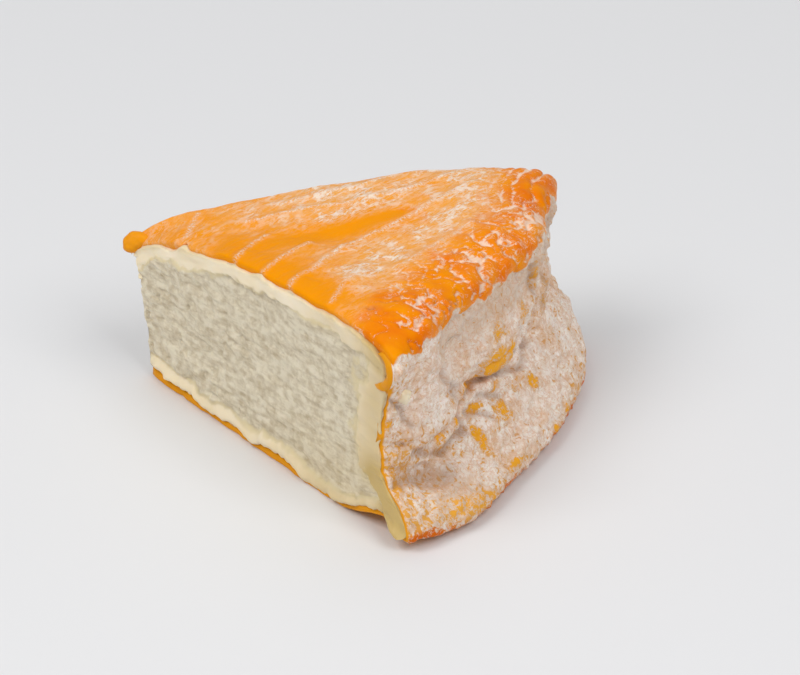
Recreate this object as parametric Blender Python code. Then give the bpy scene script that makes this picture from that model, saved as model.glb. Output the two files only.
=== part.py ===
"""A wedge cut from a large wheel of washed-rind cheese, as one closed solid.

The wedge lies on its base. The wheel's axis stands upright at the wedge's thin end, +X runs from
there along the wedge's middle to the outer wall, and +Z is up. The origin is the middle of the
wedge's box, on the surface that the wedge rests on. Lengths are in metres.

The body is a cube, cut into a fine lattice, whose points are moved onto the wedge: one way of the
cube runs outwards from the axis, one runs round from the near cut to the far cut, and one runs up.
"""

import math

import bmesh
import bpy
import numpy as np

# The wheel and the cut
HALF_ANGLE = 31.0  # degrees from the wedge's middle to either cut
AXIS_X = -0.0472  # where the wheel's axis stands
AXIS_Y = -0.0006
TIP_RADIUS = 0.0010  # how blunt the thin end is
TIP_LEAN = 0.0040  # how far the thin end's top leans out past its foot
LEAN_REACH = 0.0120  # how quickly that lean dies away outwards

# Where the section is stated: degrees round from the middle, and the sizes there
STATIONS = (-31.0, -20.0, -9.0, 1.0, 11.0, 21.0, 31.0)
SHOULDER_RADII = (0.0925, 0.0875, 0.0850, 0.0875, 0.0915, 0.0925, 0.0974)
WAIST_RADII = (0.0892, 0.0866, 0.0850, 0.0875, 0.0910, 0.0925, 0.0930)
SKIRT_RADII = (0.0992, 0.1008, 0.0992, 0.1000, 0.1015, 0.1028, 0.1015)
SKIRT_REACHES = (0.0066, 0.0085, 0.0105, 0.0115, 0.0125, 0.0133, 0.0120)
SKIRT_HEIGHT = 0.0030  # where the skirt at the foot of the wall stands out most
SHOULDER_HEIGHT = 0.0460
MEAN_RADIUS = 0.0875  # turns an angle round the wall into a distance along it
FOOT_LIFT = 0.0046  # the base curls up off the board near the near cut's outer end
FOOT_LIFT_DISTANCE = 0.0880
FOOT_LIFT_REACH = 0.0085

# Height of the top over the distance from the axis, at the near cut, the middle and the far cut
TOP_DISTANCES = (0.0, 0.008, 0.020, 0.035, 0.055, 0.075, 0.095)
TOP_NEAR = (0.0365, 0.0410, 0.0450, 0.0487, 0.0508, 0.0520, 0.0495)
TOP_MIDDLE = (0.0375, 0.0410, 0.0442, 0.0462, 0.0480, 0.0492, 0.0480)
TOP_FAR = (0.0388, 0.0428, 0.0446, 0.0466, 0.0484, 0.0489, 0.0459)
CUT_ROLL = 0.0020  # how far the knife dragged the rind down at the near cut
FAR_ROLL = 0.0008
ROLL_REACH = 0.0035

# Folds of the wall: degrees round, height, half width, half height, how far it stands out
WALL_BUMPS = (
    (-3.0, 0.0305, 0.0110, 0.0052, 0.0040),
    (-14.0, 0.0330, 0.0080, 0.0060, 0.0012),
    (-17.5, 0.0240, 0.0055, 0.0030, 0.0022),
    (-26.0, 0.0200, 0.0045, 0.0022, 0.0010),
    (-9.0, 0.0190, 0.0045, 0.0025, 0.0012),
    (14.0, 0.0300, 0.0060, 0.0080, 0.0010),
    (26.0, 0.0340, 0.0060, 0.0050, 0.0012),
    (24.0, 0.0160, 0.0090, 0.0040, 0.0014),
)
# Creases of the wall: from and to, each as degrees round and height, then half width and depth
WALL_CREASES = (
    (-18.5, 0.0275, -8.0, 0.0238, 0.0012, 0.0016),
    (-8.0, 0.0238, 2.0, 0.0208, 0.0013, 0.0028),
    (2.0, 0.0208, 8.0, 0.0230, 0.0014, 0.0018),
    (8.0, 0.0230, 11.5, 0.0370, 0.0022, 0.0014),
    (-21.5, 0.0185, -14.5, 0.0205, 0.0011, 0.0014),
    (-30.5, 0.0235, -23.0, 0.0180, 0.0012, 0.0009),
    (-30.5, 0.0155, -23.5, 0.0128, 0.0013, 0.0010),
    (-28.3, 0.0245, -24.5, 0.0310, 0.0007, 0.0007),
    (-13.5, 0.0195, -10.0, 0.0190, 0.0012, 0.0010),
    (17.0, 0.0240, 29.0, 0.0215, 0.0016, 0.0016),
    (20.0, 0.0420, 24.0, 0.0300, 0.0014, 0.0010),
)
# Wrinkles of the top: from and to, in the plan from the axis, then half width and height
TOP_WRINKLES = (
    (0.0125, -0.0050, 0.0115, 0.0050, 0.0009, 0.0005),
    (0.0300, -0.0190, 0.0320, -0.0040, 0.0009, 0.0007),
    (0.0385, -0.0240, 0.0435, -0.0060, 0.0009, 0.0008),
    (0.0475, -0.0280, 0.0520, -0.0065, 0.0010, 0.0008),
    (0.0520, -0.0065, 0.0700, 0.0310, 0.0011, 0.0006),
    (0.0250, 0.0020, 0.0555, 0.0215, 0.0014, 0.0007),
    (0.0555, 0.0215, 0.0660, 0.0380, 0.0012, 0.0006),
    (0.0300, 0.0110, 0.0480, 0.0250, 0.0012, 0.0006),
    (0.0590, -0.0330, 0.0600, -0.0140, 0.0013, 0.0006),
    (0.0680, -0.0120, 0.0760, 0.0120, 0.0013, 0.0007),
)
# Pleats of the rim
PLEAT_SPACING = 0.0070
PLEAT_OUT = 0.0011
PLEAT_UP = 0.0009
PLEAT_REACH = 0.0060  # how far a pleat runs in from the rim and down from it
EAR_OUT = 0.0022  # the ear of rind that stands out where the near cut meets the rim
EAR_WIDTH = 0.0030
RIDGE_AT = 10.5  # degrees round, where two flats of the wall meet in an upright ridge
RIDGE_OUT = 0.0014
RIDGE_WIDTH = 0.0035

# Small relief
RIND_LUMP = 0.0070  # spacing of the rind's slight lumps
RIND_LUMP_HEIGHT = 0.0005
WALL_LUMP = 0.0050
WALL_LUMP_HEIGHT = 0.0007
CURD_GRAIN = 0.0045  # spacing of the crags on the cut paste
CURD_DEPTH = 0.0007
CREAM_BAND = 0.0065  # how far the softened paste reaches in from the rind
CREAM_SWELL = 0.0008  # how far it swells out of the cut
EDGE_FADE = 0.0012  # the cut's relief fades in over this distance from the rind

# The curl of rind at the tip, as an egg shape
CURL_CENTRE = (-0.0031, 0.0003, 0.0352)  # from the axis
CURL_RADII = (0.0022, 0.0020, 0.0021)

# The lattice: rows outwards, round and up, and the share of faces kept where the form is plain
ROWS_OUT, ROWS_ROUND, ROWS_UP = 64, 46, 40
KEPT_SHARE = 0.30

# How the section's control points are shared out along its four sides
BASE_SHARES = (0.12, 0.28, 0.45, 0.62, 0.76)
FOOT_INSETS = ((0.0160, 0.0), (0.0100, 0.0), (0.0055, 0.0), (0.0018, 0.0011))
WALL_HEIGHTS = (0.0035, 0.0065, 0.0095, 0.0130, 0.0170, 0.0210, 0.0250, 0.0290, 0.0330, 0.0370)
RIM_INSETS = ((0.0, 0.0068), (-0.0001, 0.0024), (0.0034, 0.0003))
TOP_SHARES = (0.92, 0.86, 0.79, 0.70, 0.60, 0.50, 0.40, 0.31, 0.23, 0.16, 0.10, 0.05)
TIP_SHARES = (0.8, 0.6, 0.4, 0.2)
# Places on the section where its sides meet, counted in control points
BASE_START = 0.5
BASE_EDGE = 1.0 + len(BASE_SHARES) + len(FOOT_INSETS)
RIM_EDGE = BASE_EDGE + len(WALL_HEIGHTS) + 2.0
TIP_TOP = RIM_EDGE + len(TOP_SHARES) + 2.5
RING_END = TIP_TOP + len(TIP_SHARES) + 2.0

RIND_COLOUR = (0.83, 0.30, 0.02, 1.0)
RIND_ROUGHNESS = 0.38


def smooth_curve(places, values, x):
    """A smooth curve through the values: cubic pieces whose slope at each place is the mean slope
    of its two neighbours."""
    places, values = np.asarray(places, float), np.asarray(values, float)
    slopes = np.gradient(values, places)
    x = np.clip(x, places[0], places[-1])
    i = np.clip(np.searchsorted(places, x, side="right") - 1, 0, len(places) - 2)
    width = places[i + 1] - places[i]
    t = (x - places[i]) / width
    start = (1 + 2 * t) * (1 - t) ** 2 * values[i] + t * (1 - t) ** 2 * width * slopes[i]
    end = t * t * (3 - 2 * t) * values[i + 1] - t * t * (1 - t) * width * slopes[i + 1]
    return start + end


def smooth_step(low, high, x):
    """0 below low, 1 above high, and an S-shaped rise between them."""
    t = np.clip((x - low) / (high - low), 0.0, 1.0)
    return t * t * (3 - 2 * t)


def corner_values(corner, seed):
    """A fixed value from -1 to 1 for each whole-number corner, mixed from its three numbers."""
    mixed = corner[..., 0] * 73856093 ^ corner[..., 1] * 19349663 ^ corner[..., 2] * 83492791
    mixed = (mixed ^ seed * 2654435761) & 0xFFFFFFFF
    mixed = (mixed ^ (mixed >> 15)) * 2246822519 & 0xFFFFFFFF
    mixed = (mixed ^ (mixed >> 13)) * 3266489917 & 0xFFFFFFFF
    return (mixed ^ (mixed >> 16)) / 2147483647.5 - 1.0


def lumps(points, spacing, seed, octaves=2):
    """Soft lumps: values on a cubic grid blended by S-curves, with finer, lower layers added."""
    total = np.zeros(points.shape[:-1])
    for octave in range(octaves):
        scaled = points * (2.0**octave / spacing) + 0.37 * octave
        base = np.floor(scaled).astype(np.int64)
        t = scaled - base
        t = t * t * (3 - 2 * t)
        for corner in np.ndindex(2, 2, 2):
            corner = np.array(corner)
            weight = np.prod(np.where(corner == 1, t, 1 - t), axis=-1)
            total += weight * corner_values(base + corner, seed + octave) / 2.0**octave
    return total


def stroke(x, y, x0, y0, x1, y1, half_width):
    """1 on the line from (x0, y0) to (x1, y1), falling away beside it as a bell curve."""
    along = ((x - x0) * (x1 - x0) + (y - y0) * (y1 - y0)) / ((x1 - x0) ** 2 + (y1 - y0) ** 2)
    along = np.clip(along, 0.0, 1.0)
    distance2 = (x - x0 - along * (x1 - x0)) ** 2 + (y - y0 - along * (y1 - y0)) ** 2
    return np.exp(-distance2 / (2 * half_width**2))


def wall_radius(degrees, height):
    """The wall: a waist that leans out to the shoulder above, and a skirt that spreads below."""
    waist = smooth_curve(STATIONS, WAIST_RADII, degrees)
    shoulder = smooth_curve(STATIONS, SHOULDER_RADII, degrees)
    skirt = smooth_curve(STATIONS, SKIRT_RADII, degrees)
    reach = smooth_curve(STATIONS, SKIRT_REACHES, degrees)
    rise = np.maximum(height - SKIRT_HEIGHT, 0.0)
    spread = np.exp(-((rise / reach) ** 2))
    lean = smooth_step(0.030, 0.046, height)
    return waist + (shoulder - waist) * lean + (skirt - waist) * spread


def top_height(degrees, distance):
    """The top: low at the axis and higher outwards, blended from the near cut through the middle
    to the far cut, and dragged down a little along both cuts."""
    near = smooth_curve(TOP_DISTANCES, TOP_NEAR, distance)
    middle = smooth_curve(TOP_DISTANCES, TOP_MIDDLE, distance)
    far = smooth_curve(TOP_DISTANCES, TOP_FAR, distance)
    share = degrees / HALF_ANGLE
    to_near, to_far = np.clip(-share, 0, 1) ** 1.5, np.clip(share, 0, 1) ** 1.5
    height = middle + (near - middle) * to_near + (far - middle) * to_far
    from_near = distance * np.sin(np.radians(degrees + HALF_ANGLE))
    from_far = distance * np.sin(np.radians(HALF_ANGLE - degrees))
    height = height - CUT_ROLL * np.exp(-from_near / ROLL_REACH)
    return height - FAR_ROLL * np.exp(-from_far / ROLL_REACH)


def control_ring(degrees):
    """Control points of the section at each angle, as distance from the axis and height: along the
    base outwards, up the wall, back over the top, and down the thin end."""
    distances, heights = [], []

    def add(distance, height):
        distances.append(distance + 0.0 * degrees)
        heights.append(height + 0.0 * degrees)

    foot = wall_radius(degrees, SKIRT_HEIGHT)
    shoulder = wall_radius(degrees, SHOULDER_HEIGHT)
    rim_top = top_height(degrees, shoulder)
    tip_top = top_height(degrees, TIP_RADIUS)
    add(TIP_RADIUS, 0.0)
    add(TIP_RADIUS, 0.0)
    for share in BASE_SHARES:
        add(foot * share, 0.0)
    for inset, height in FOOT_INSETS:
        add(foot - inset, height)
    for height in WALL_HEIGHTS:
        add(wall_radius(degrees, height), height)
    for inset, drop in RIM_INSETS:
        add(shoulder - inset, rim_top - drop)
    for share in TOP_SHARES:
        add(shoulder * share, top_height(degrees, shoulder * share))
    add(TIP_RADIUS, tip_top)
    add(TIP_RADIUS, tip_top)
    for share in TIP_SHARES:
        add(TIP_RADIUS, tip_top * share)
    return np.array(distances), np.array(heights)


def on_ring(ring, place):
    """The closed cubic B-spline of the ring's control points, at a place counted along them."""
    count = len(ring[0])
    i = np.floor(place).astype(int)
    t = place - i
    weights = (
        (1 - t) ** 3 / 6,
        (3 * t**3 - 6 * t**2 + 4) / 6,
        (-3 * t**3 + 3 * t**2 + 3 * t + 1) / 6,
        t**3 / 6,
    )
    columns = np.arange(len(place))
    picked = [(i + step - 1) % count for step in range(4)]
    distance = sum(w * ring[0][p, columns] for w, p in zip(weights, picked))
    height = sum(w * ring[1][p, columns] for w, p in zip(weights, picked))
    return distance, height


def wall_relief(degrees, height):
    """How far the wall stands out at each point, from its bumps, its creases and slight lumps."""
    round_way = np.radians(degrees) * MEAN_RADIUS
    out = np.zeros_like(height)
    for angle, at, half_width, half_height, size in WALL_BUMPS:
        across = (round_way - math.radians(angle) * MEAN_RADIUS) / half_width
        up = (height - at) / half_height
        out += size * np.exp(-0.5 * (across**2 + up**2))
    for from_angle, from_height, to_angle, to_height, half_width, depth in WALL_CREASES:
        start = math.radians(from_angle) * MEAN_RADIUS
        end = math.radians(to_angle) * MEAN_RADIUS
        line = stroke(round_way, height, start, from_height, end, to_height, half_width)
        out -= depth * line
    ridge = (round_way - math.radians(RIDGE_AT) * MEAN_RADIUS) / RIDGE_WIDTH
    out += RIDGE_OUT * np.exp(-(ridge**2)) * smooth_step(0.020, 0.036, height)
    places = np.stack([round_way, height * 1.4, 0.0 * height], -1)
    return out + WALL_LUMP_HEIGHT * lumps(places, WALL_LUMP, 11)


def top_relief(across_x, across_y):
    """How far the top stands up at each point of the plan, from its wrinkles and slight lumps."""
    up = np.zeros_like(across_x)
    for x0, y0, x1, y1, half_width, size in TOP_WRINKLES:
        up += size * stroke(across_x, across_y, x0, y0, x1, y1, half_width)
    places = np.stack([across_x, across_y * 0.7, 0.0 * across_x], -1)
    return up + RIND_LUMP_HEIGHT * lumps(places, RIND_LUMP, 5)


def pleats(degrees):
    """How far the rim stands out and up at each angle: uneven folds, and the ear at the near cut."""
    round_way = np.radians(degrees) * MEAN_RADIUS
    places = np.stack([round_way, 0.0 * degrees, 0.0 * degrees], -1)
    ear = np.exp(-((np.radians(degrees + HALF_ANGLE) * MEAN_RADIUS / EAR_WIDTH) ** 2))
    out = PLEAT_OUT * lumps(places, PLEAT_SPACING, 31) + EAR_OUT * ear
    return out, PLEAT_UP * lumps(places, PLEAT_SPACING, 47)


def section_point(place, degrees):
    """Distance from the axis and height of the rind at a place on the ring, with its relief."""
    ring = control_ring(degrees)
    distance, height = on_ring(ring, place)
    shoulder = wall_radius(degrees, SHOULDER_HEIGHT)
    on_wall = smooth_step(0.003, 0.009, height) * smooth_step(RIM_EDGE + 0.6, RIM_EDGE - 1.4, place)
    on_wall = on_wall * (place > BASE_EDGE)
    on_top = smooth_step(RIM_EDGE - 0.6, RIM_EDGE + 1.5, place)
    on_top = on_top * smooth_step(TIP_RADIUS, 0.006, distance) * (place < TIP_TOP)
    angle = np.radians(degrees)
    raised = top_relief(distance * np.cos(angle), distance * np.sin(angle))
    stands_out = wall_relief(degrees, height)
    out, up = pleats(degrees)
    from_rim = np.hypot(np.minimum(distance - shoulder, 0.0), np.minimum(height - 0.047, 0.0))
    near_rim = np.exp(-((from_rim / PLEAT_REACH) ** 2)) * (place > BASE_EDGE) * (place < TIP_TOP)
    distance = distance + on_wall * stands_out + near_rim * out
    height = height + on_top * raised + near_rim * up
    return distance, height


def wedge_section(outwards, upwards, degrees):
    """The section at each angle, filled in between its four sides by a Coons patch."""
    base = section_point(BASE_START + (BASE_EDGE - BASE_START) * outwards, degrees)
    top = section_point(TIP_TOP + (RIM_EDGE - TIP_TOP) * outwards, degrees)
    wall = section_point(BASE_EDGE + (RIM_EDGE - BASE_EDGE) * upwards, degrees)
    tip = section_point(RING_END + (TIP_TOP - RING_END) * upwards, degrees)
    ends = [
        section_point(np.full_like(degrees, place), degrees)
        for place in (BASE_START, BASE_EDGE, TIP_TOP, RIM_EDGE)
    ]
    filled = []
    for k in range(2):
        sides = (1 - upwards) * base[k] + upwards * top[k]
        sides += (1 - outwards) * tip[k] + outwards * wall[k]
        corners = (1 - outwards) * (1 - upwards) * ends[0][k] + outwards * (1 - upwards) * ends[1][k]
        corners += (1 - outwards) * upwards * ends[2][k] + outwards * upwards * ends[3][k]
        filled.append(sides - corners)
    return filled


def cut_swell(distance, height, from_rind):
    """How far the cut face stands out: the softened band under the rind swells, and the chalky
    middle is craggy."""
    crags = lumps(np.stack([distance * 0.7, height * 1.3, 0.0 * height], -1), CURD_GRAIN, 23)
    band = np.exp(-((from_rind / CREAM_BAND) ** 2))
    fade = smooth_step(0.0, EDGE_FADE, from_rind)
    return fade * (CREAM_SWELL * band + CURD_DEPTH * (1 - band) * crags)


def foot_lift(degrees, distance, height):
    """How far the base is lifted off what it rests on, beside the near cut's outer end."""
    from_near = distance * np.sin(np.radians(degrees + HALF_ANGLE))
    bell = np.exp(-(((distance - FOOT_LIFT_DISTANCE) / FOOT_LIFT_REACH) ** 2))
    fade = smooth_step(2 * FOOT_LIFT_REACH, 0.0, from_near)
    return FOOT_LIFT * bell * fade * smooth_step(0.024, 0.0, height)


def wedge_points(cube):
    """Moves points of the unit cube onto the wedge."""
    outwards, around, upwards = cube[:, 0], cube[:, 1], cube[:, 2]
    degrees = HALF_ANGLE * (2 * around - 1)
    distance, height = wedge_section(outwards, upwards, degrees)
    angle = np.radians(degrees)
    x, y = distance * np.cos(angle), distance * np.sin(angle)
    side = (around > 0.999).astype(float) - (around < 0.001)
    top = top_height(degrees, distance)
    from_rind = np.minimum(np.minimum(height, top - height), wall_radius(degrees, height) - distance)
    swell = side * cut_swell(distance, height, np.maximum(from_rind, 0.0))
    x = x - swell * np.sin(angle)
    y = y + swell * np.cos(angle)
    x = x - TIP_LEAN * (height / 0.04) ** 2 * np.exp(-distance / LEAN_REACH)
    height = height + foot_lift(degrees, distance, height)
    return np.stack([x + AXIS_X, y + AXIS_Y, height], -1)


def lattice_cube():
    """A unit cube from 0 to 1, each of its three ways cut into its own number of rows."""
    body = bmesh.new()
    bmesh.ops.create_cube(body, size=1.0)
    bmesh.ops.translate(body, verts=body.verts, vec=(0.5, 0.5, 0.5))
    for way, rows in enumerate((ROWS_OUT, ROWS_ROUND, ROWS_UP)):
        along = [e for e in body.edges if abs(e.verts[0].co[way] - e.verts[1].co[way]) > 1e-4]
        bmesh.ops.subdivide_edges(body, edges=along, cuts=rows - 1, use_grid_fill=True)
    return body


def rind_material():
    """Orange washed rind, slightly glossy."""
    material = bpy.data.materials.new("washed_rind")
    material.use_nodes = True
    shader = material.node_tree.nodes["Principled BSDF"]
    shader.inputs["Base Color"].default_value = RIND_COLOUR
    shader.inputs["Roughness"].default_value = RIND_ROUGHNESS
    shader.inputs["Metallic"].default_value = 0.0
    return material


def new_object(name, mesh, collection):
    """Puts a mesh in the scene as a named object of a collection."""
    made = bpy.data.objects.new(name, mesh)
    collection.objects.link(made)
    return made


def wedge_body(collection):
    """The wedge itself, with its base flat, and faces joined where the form is plain."""
    body = lattice_cube()
    mesh = bpy.data.meshes.new("cheese_wedge")
    body.to_mesh(mesh)
    body.free()
    cube = np.empty(len(mesh.vertices) * 3)
    mesh.vertices.foreach_get("co", cube)
    mesh.vertices.foreach_set("co", wedge_points(cube.reshape(-1, 3)).ravel())
    mesh.update()
    wedge = new_object("cheese_wedge", mesh, collection)
    plainer = wedge.modifiers.new("Join plain faces", "DECIMATE")
    plainer.decimate_type = "COLLAPSE"
    plainer.ratio = KEPT_SHARE
    return wedge


def rind_curl(collection):
    """The small roll of rind that the knife left at the tip, to be fused to the wedge."""
    bpy.ops.mesh.primitive_uv_sphere_add(segments=20, ring_count=12, radius=1.0)
    curl = bpy.context.object
    curl.name = "rind_curl"
    x, y, z = CURL_CENTRE
    curl.location = (x + AXIS_X, y + AXIS_Y, z)
    curl.scale = CURL_RADII
    bpy.ops.object.transform_apply(location=True, rotation=False, scale=True)
    for holder in list(curl.users_collection):
        holder.objects.unlink(curl)
    collection.objects.link(curl)
    return curl


def fuse(wedge, pieces):
    """Joins the pieces of a collection to the wedge by one Boolean union, and removes them."""
    joined = wedge.modifiers.new("Fuse", "BOOLEAN")
    joined.operation = "UNION"
    joined.operand_type = "COLLECTION"
    joined.collection = pieces
    joined.solver = "EXACT"
    graph = bpy.context.evaluated_depsgraph_get()
    whole = bpy.data.meshes.new_from_object(wedge.evaluated_get(graph))
    wedge.modifiers.clear()
    wedge.data = whole
    for piece in list(pieces.objects):
        bpy.data.objects.remove(piece)
    bpy.data.collections.remove(pieces)


def main():
    """Builds the wedge in an empty scene."""
    for old in list(bpy.data.objects):
        bpy.data.objects.remove(old)
    cheese = bpy.data.collections.new("langres wedge")
    fused = bpy.data.collections.new("fused pieces")
    for collection in (cheese, fused):
        bpy.context.scene.collection.children.link(collection)
    wedge = wedge_body(cheese)
    rind_curl(fused)
    fuse(wedge, fused)
    wedge.data.materials.append(rind_material())
    wedge.data.shade_smooth()
    wedge.data.set_sharp_from_angle(angle=math.radians(50))


main()
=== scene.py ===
"""Looks of a wedge of langres cheese: washed rind, white bloom, cream band and chalky curd.

The cheese is described round the wheel's upright axis, which stands at the wedge's thin end: a
point has an angle round from the wedge's middle, a distance from the axis and a height over the
floor. The skin's section at any angle is a closed smooth line that runs out along the base, up the
wall and back over the top. The paste and the rind are both worked out from that section, so they
fit each other.
"""

import math

import bpy
import numpy as np
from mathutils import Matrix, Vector


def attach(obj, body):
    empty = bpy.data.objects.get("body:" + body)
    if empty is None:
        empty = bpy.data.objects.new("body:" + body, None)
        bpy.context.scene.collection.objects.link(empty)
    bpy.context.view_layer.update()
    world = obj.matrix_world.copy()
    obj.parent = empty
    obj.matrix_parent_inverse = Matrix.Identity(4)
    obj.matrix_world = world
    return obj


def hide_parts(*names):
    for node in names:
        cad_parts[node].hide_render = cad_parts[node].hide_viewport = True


bl_info = {
    "name": "Langres cheese wedge",
    "version": (1, 0, 0),
    "blender": (4, 5, 0),
    "location": "3D View > Sidebar > Langres",
    "description": "Makes a cut wedge of washed-rind cheese around its packed solid",
    "category": "Object",
}

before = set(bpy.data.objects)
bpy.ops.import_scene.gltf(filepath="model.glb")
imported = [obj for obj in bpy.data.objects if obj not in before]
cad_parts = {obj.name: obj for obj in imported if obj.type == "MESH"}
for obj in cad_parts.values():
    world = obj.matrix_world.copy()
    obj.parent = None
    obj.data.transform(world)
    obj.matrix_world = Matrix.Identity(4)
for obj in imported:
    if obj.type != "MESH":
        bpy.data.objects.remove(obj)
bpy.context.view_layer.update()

MM = 0.001

# The wheel and the cut, in metres and degrees
HALF_ANGLE = 31.0
AXIS_X = -0.0472
AXIS_Y = -0.0006
TIP_RADIUS = 0.0010
TIP_LEAN = 0.0040
LEAN_REACH = 0.0120

# Where the section is stated: degrees round from the middle, and the sizes there
STATIONS = (-31.0, -20.0, -9.0, 1.0, 11.0, 21.0, 31.0)
SHOULDER_RADII = (0.0925, 0.0875, 0.0850, 0.0875, 0.0915, 0.0925, 0.0974)
WAIST_RADII = (0.0892, 0.0866, 0.0850, 0.0875, 0.0910, 0.0925, 0.0930)
SKIRT_RADII = (0.0992, 0.1008, 0.0992, 0.1000, 0.1015, 0.1028, 0.1015)
SKIRT_REACHES = (0.0066, 0.0085, 0.0105, 0.0115, 0.0125, 0.0133, 0.0120)
SKIRT_HEIGHT = 0.0030
SHOULDER_HEIGHT = 0.0460
MEAN_RADIUS = 0.0875
FOOT_LIFT = 0.0046
FOOT_LIFT_DISTANCE = 0.0880
FOOT_LIFT_REACH = 0.0085

# Height of the top over the distance from the axis, at the near cut, the middle and the far cut
TOP_DISTANCES = (0.0, 0.008, 0.020, 0.035, 0.055, 0.075, 0.095)
TOP_NEAR = (0.0365, 0.0410, 0.0450, 0.0487, 0.0508, 0.0520, 0.0495)
TOP_MIDDLE = (0.0375, 0.0410, 0.0442, 0.0462, 0.0480, 0.0492, 0.0480)
TOP_FAR = (0.0388, 0.0428, 0.0446, 0.0466, 0.0484, 0.0489, 0.0459)
CUT_ROLL = 0.0020
FAR_ROLL = 0.0008
ROLL_REACH = 0.0035

# Folds of the wall: degrees round, height, half width, half height, how far it stands out
WALL_BUMPS = (
    (-3.0, 0.0305, 0.0110, 0.0052, 0.0040),
    (-14.0, 0.0330, 0.0080, 0.0060, 0.0012),
    (-17.5, 0.0240, 0.0055, 0.0030, 0.0022),
    (-26.0, 0.0200, 0.0045, 0.0022, 0.0010),
    (-9.0, 0.0190, 0.0045, 0.0025, 0.0012),
    (14.0, 0.0300, 0.0060, 0.0080, 0.0010),
    (26.0, 0.0340, 0.0060, 0.0050, 0.0012),
    (24.0, 0.0160, 0.0090, 0.0040, 0.0014),
)
# Creases of the wall: from and to, each as degrees round and height, then half width and depth
WALL_CREASES = (
    (-18.5, 0.0275, -8.0, 0.0238, 0.0012, 0.0016),
    (-8.0, 0.0238, 2.0, 0.0208, 0.0013, 0.0028),
    (2.0, 0.0208, 8.0, 0.0230, 0.0014, 0.0018),
    (8.0, 0.0230, 11.5, 0.0370, 0.0022, 0.0014),
    (-21.5, 0.0185, -14.5, 0.0205, 0.0011, 0.0014),
    (-30.5, 0.0235, -23.0, 0.0180, 0.0012, 0.0009),
    (-30.5, 0.0155, -23.5, 0.0128, 0.0013, 0.0010),
    (-28.3, 0.0245, -24.5, 0.0310, 0.0007, 0.0007),
    (-13.5, 0.0195, -10.0, 0.0190, 0.0012, 0.0010),
    (17.0, 0.0240, 29.0, 0.0215, 0.0016, 0.0016),
    (20.0, 0.0420, 24.0, 0.0300, 0.0014, 0.0010),
)
# Wrinkles of the top: from and to, in the plan from the axis, then half width and height
TOP_WRINKLES = (
    (0.0125, -0.0050, 0.0115, 0.0050, 0.0009, 0.0005),
    (0.0300, -0.0190, 0.0320, -0.0040, 0.0009, 0.0007),
    (0.0385, -0.0240, 0.0435, -0.0060, 0.0009, 0.0008),
    (0.0475, -0.0280, 0.0520, -0.0065, 0.0010, 0.0008),
    (0.0520, -0.0065, 0.0700, 0.0310, 0.0011, 0.0006),
    (0.0250, 0.0020, 0.0555, 0.0215, 0.0014, 0.0007),
    (0.0555, 0.0215, 0.0660, 0.0380, 0.0012, 0.0006),
    (0.0300, 0.0110, 0.0480, 0.0250, 0.0012, 0.0006),
    (0.0590, -0.0330, 0.0600, -0.0140, 0.0013, 0.0006),
    (0.0680, -0.0120, 0.0760, 0.0120, 0.0013, 0.0007),
)
# Pleats and folds of the rim
PLEAT_SPACING = 0.0070
PLEAT_OUT = 0.0011
PLEAT_UP = 0.0009
PLEAT_REACH = 0.0060
EAR_OUT = 0.0022
EAR_WIDTH = 0.0030
RIDGE_AT = 10.5
RIDGE_OUT = 0.0014
RIDGE_WIDTH = 0.0035

# Lumps of the skin
RIND_LUMP = 0.0070
RIND_LUMP_HEIGHT = 0.0005
WALL_LUMP = 0.0050
WALL_LUMP_HEIGHT = 0.0007

# How the section's control points are shared out along its four sides
BASE_SHARES = (0.12, 0.28, 0.45, 0.62, 0.76)
FOOT_INSETS = ((0.0160, 0.0), (0.0100, 0.0), (0.0055, 0.0), (0.0018, 0.0011))
WALL_HEIGHTS = (0.0035, 0.0065, 0.0095, 0.0130, 0.0170, 0.0210, 0.0250, 0.0290, 0.0330, 0.0370)
RIM_INSETS = ((0.0, 0.0068), (-0.0001, 0.0024), (0.0034, 0.0003))
TOP_SHARES = (0.92, 0.86, 0.79, 0.70, 0.60, 0.50, 0.40, 0.31, 0.23, 0.16, 0.10, 0.05)
TIP_SHARES = (0.8, 0.6, 0.4, 0.2)
BASE_START = 0.5
BASE_EDGE = 1.0 + len(BASE_SHARES) + len(FOOT_INSETS)
RIM_EDGE = BASE_EDGE + len(WALL_HEIGHTS) + 2.0
TIP_TOP = RIM_EDGE + len(TOP_SHARES) + 2.5
RING_END = TIP_TOP + len(TIP_SHARES) + 2.0

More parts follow.
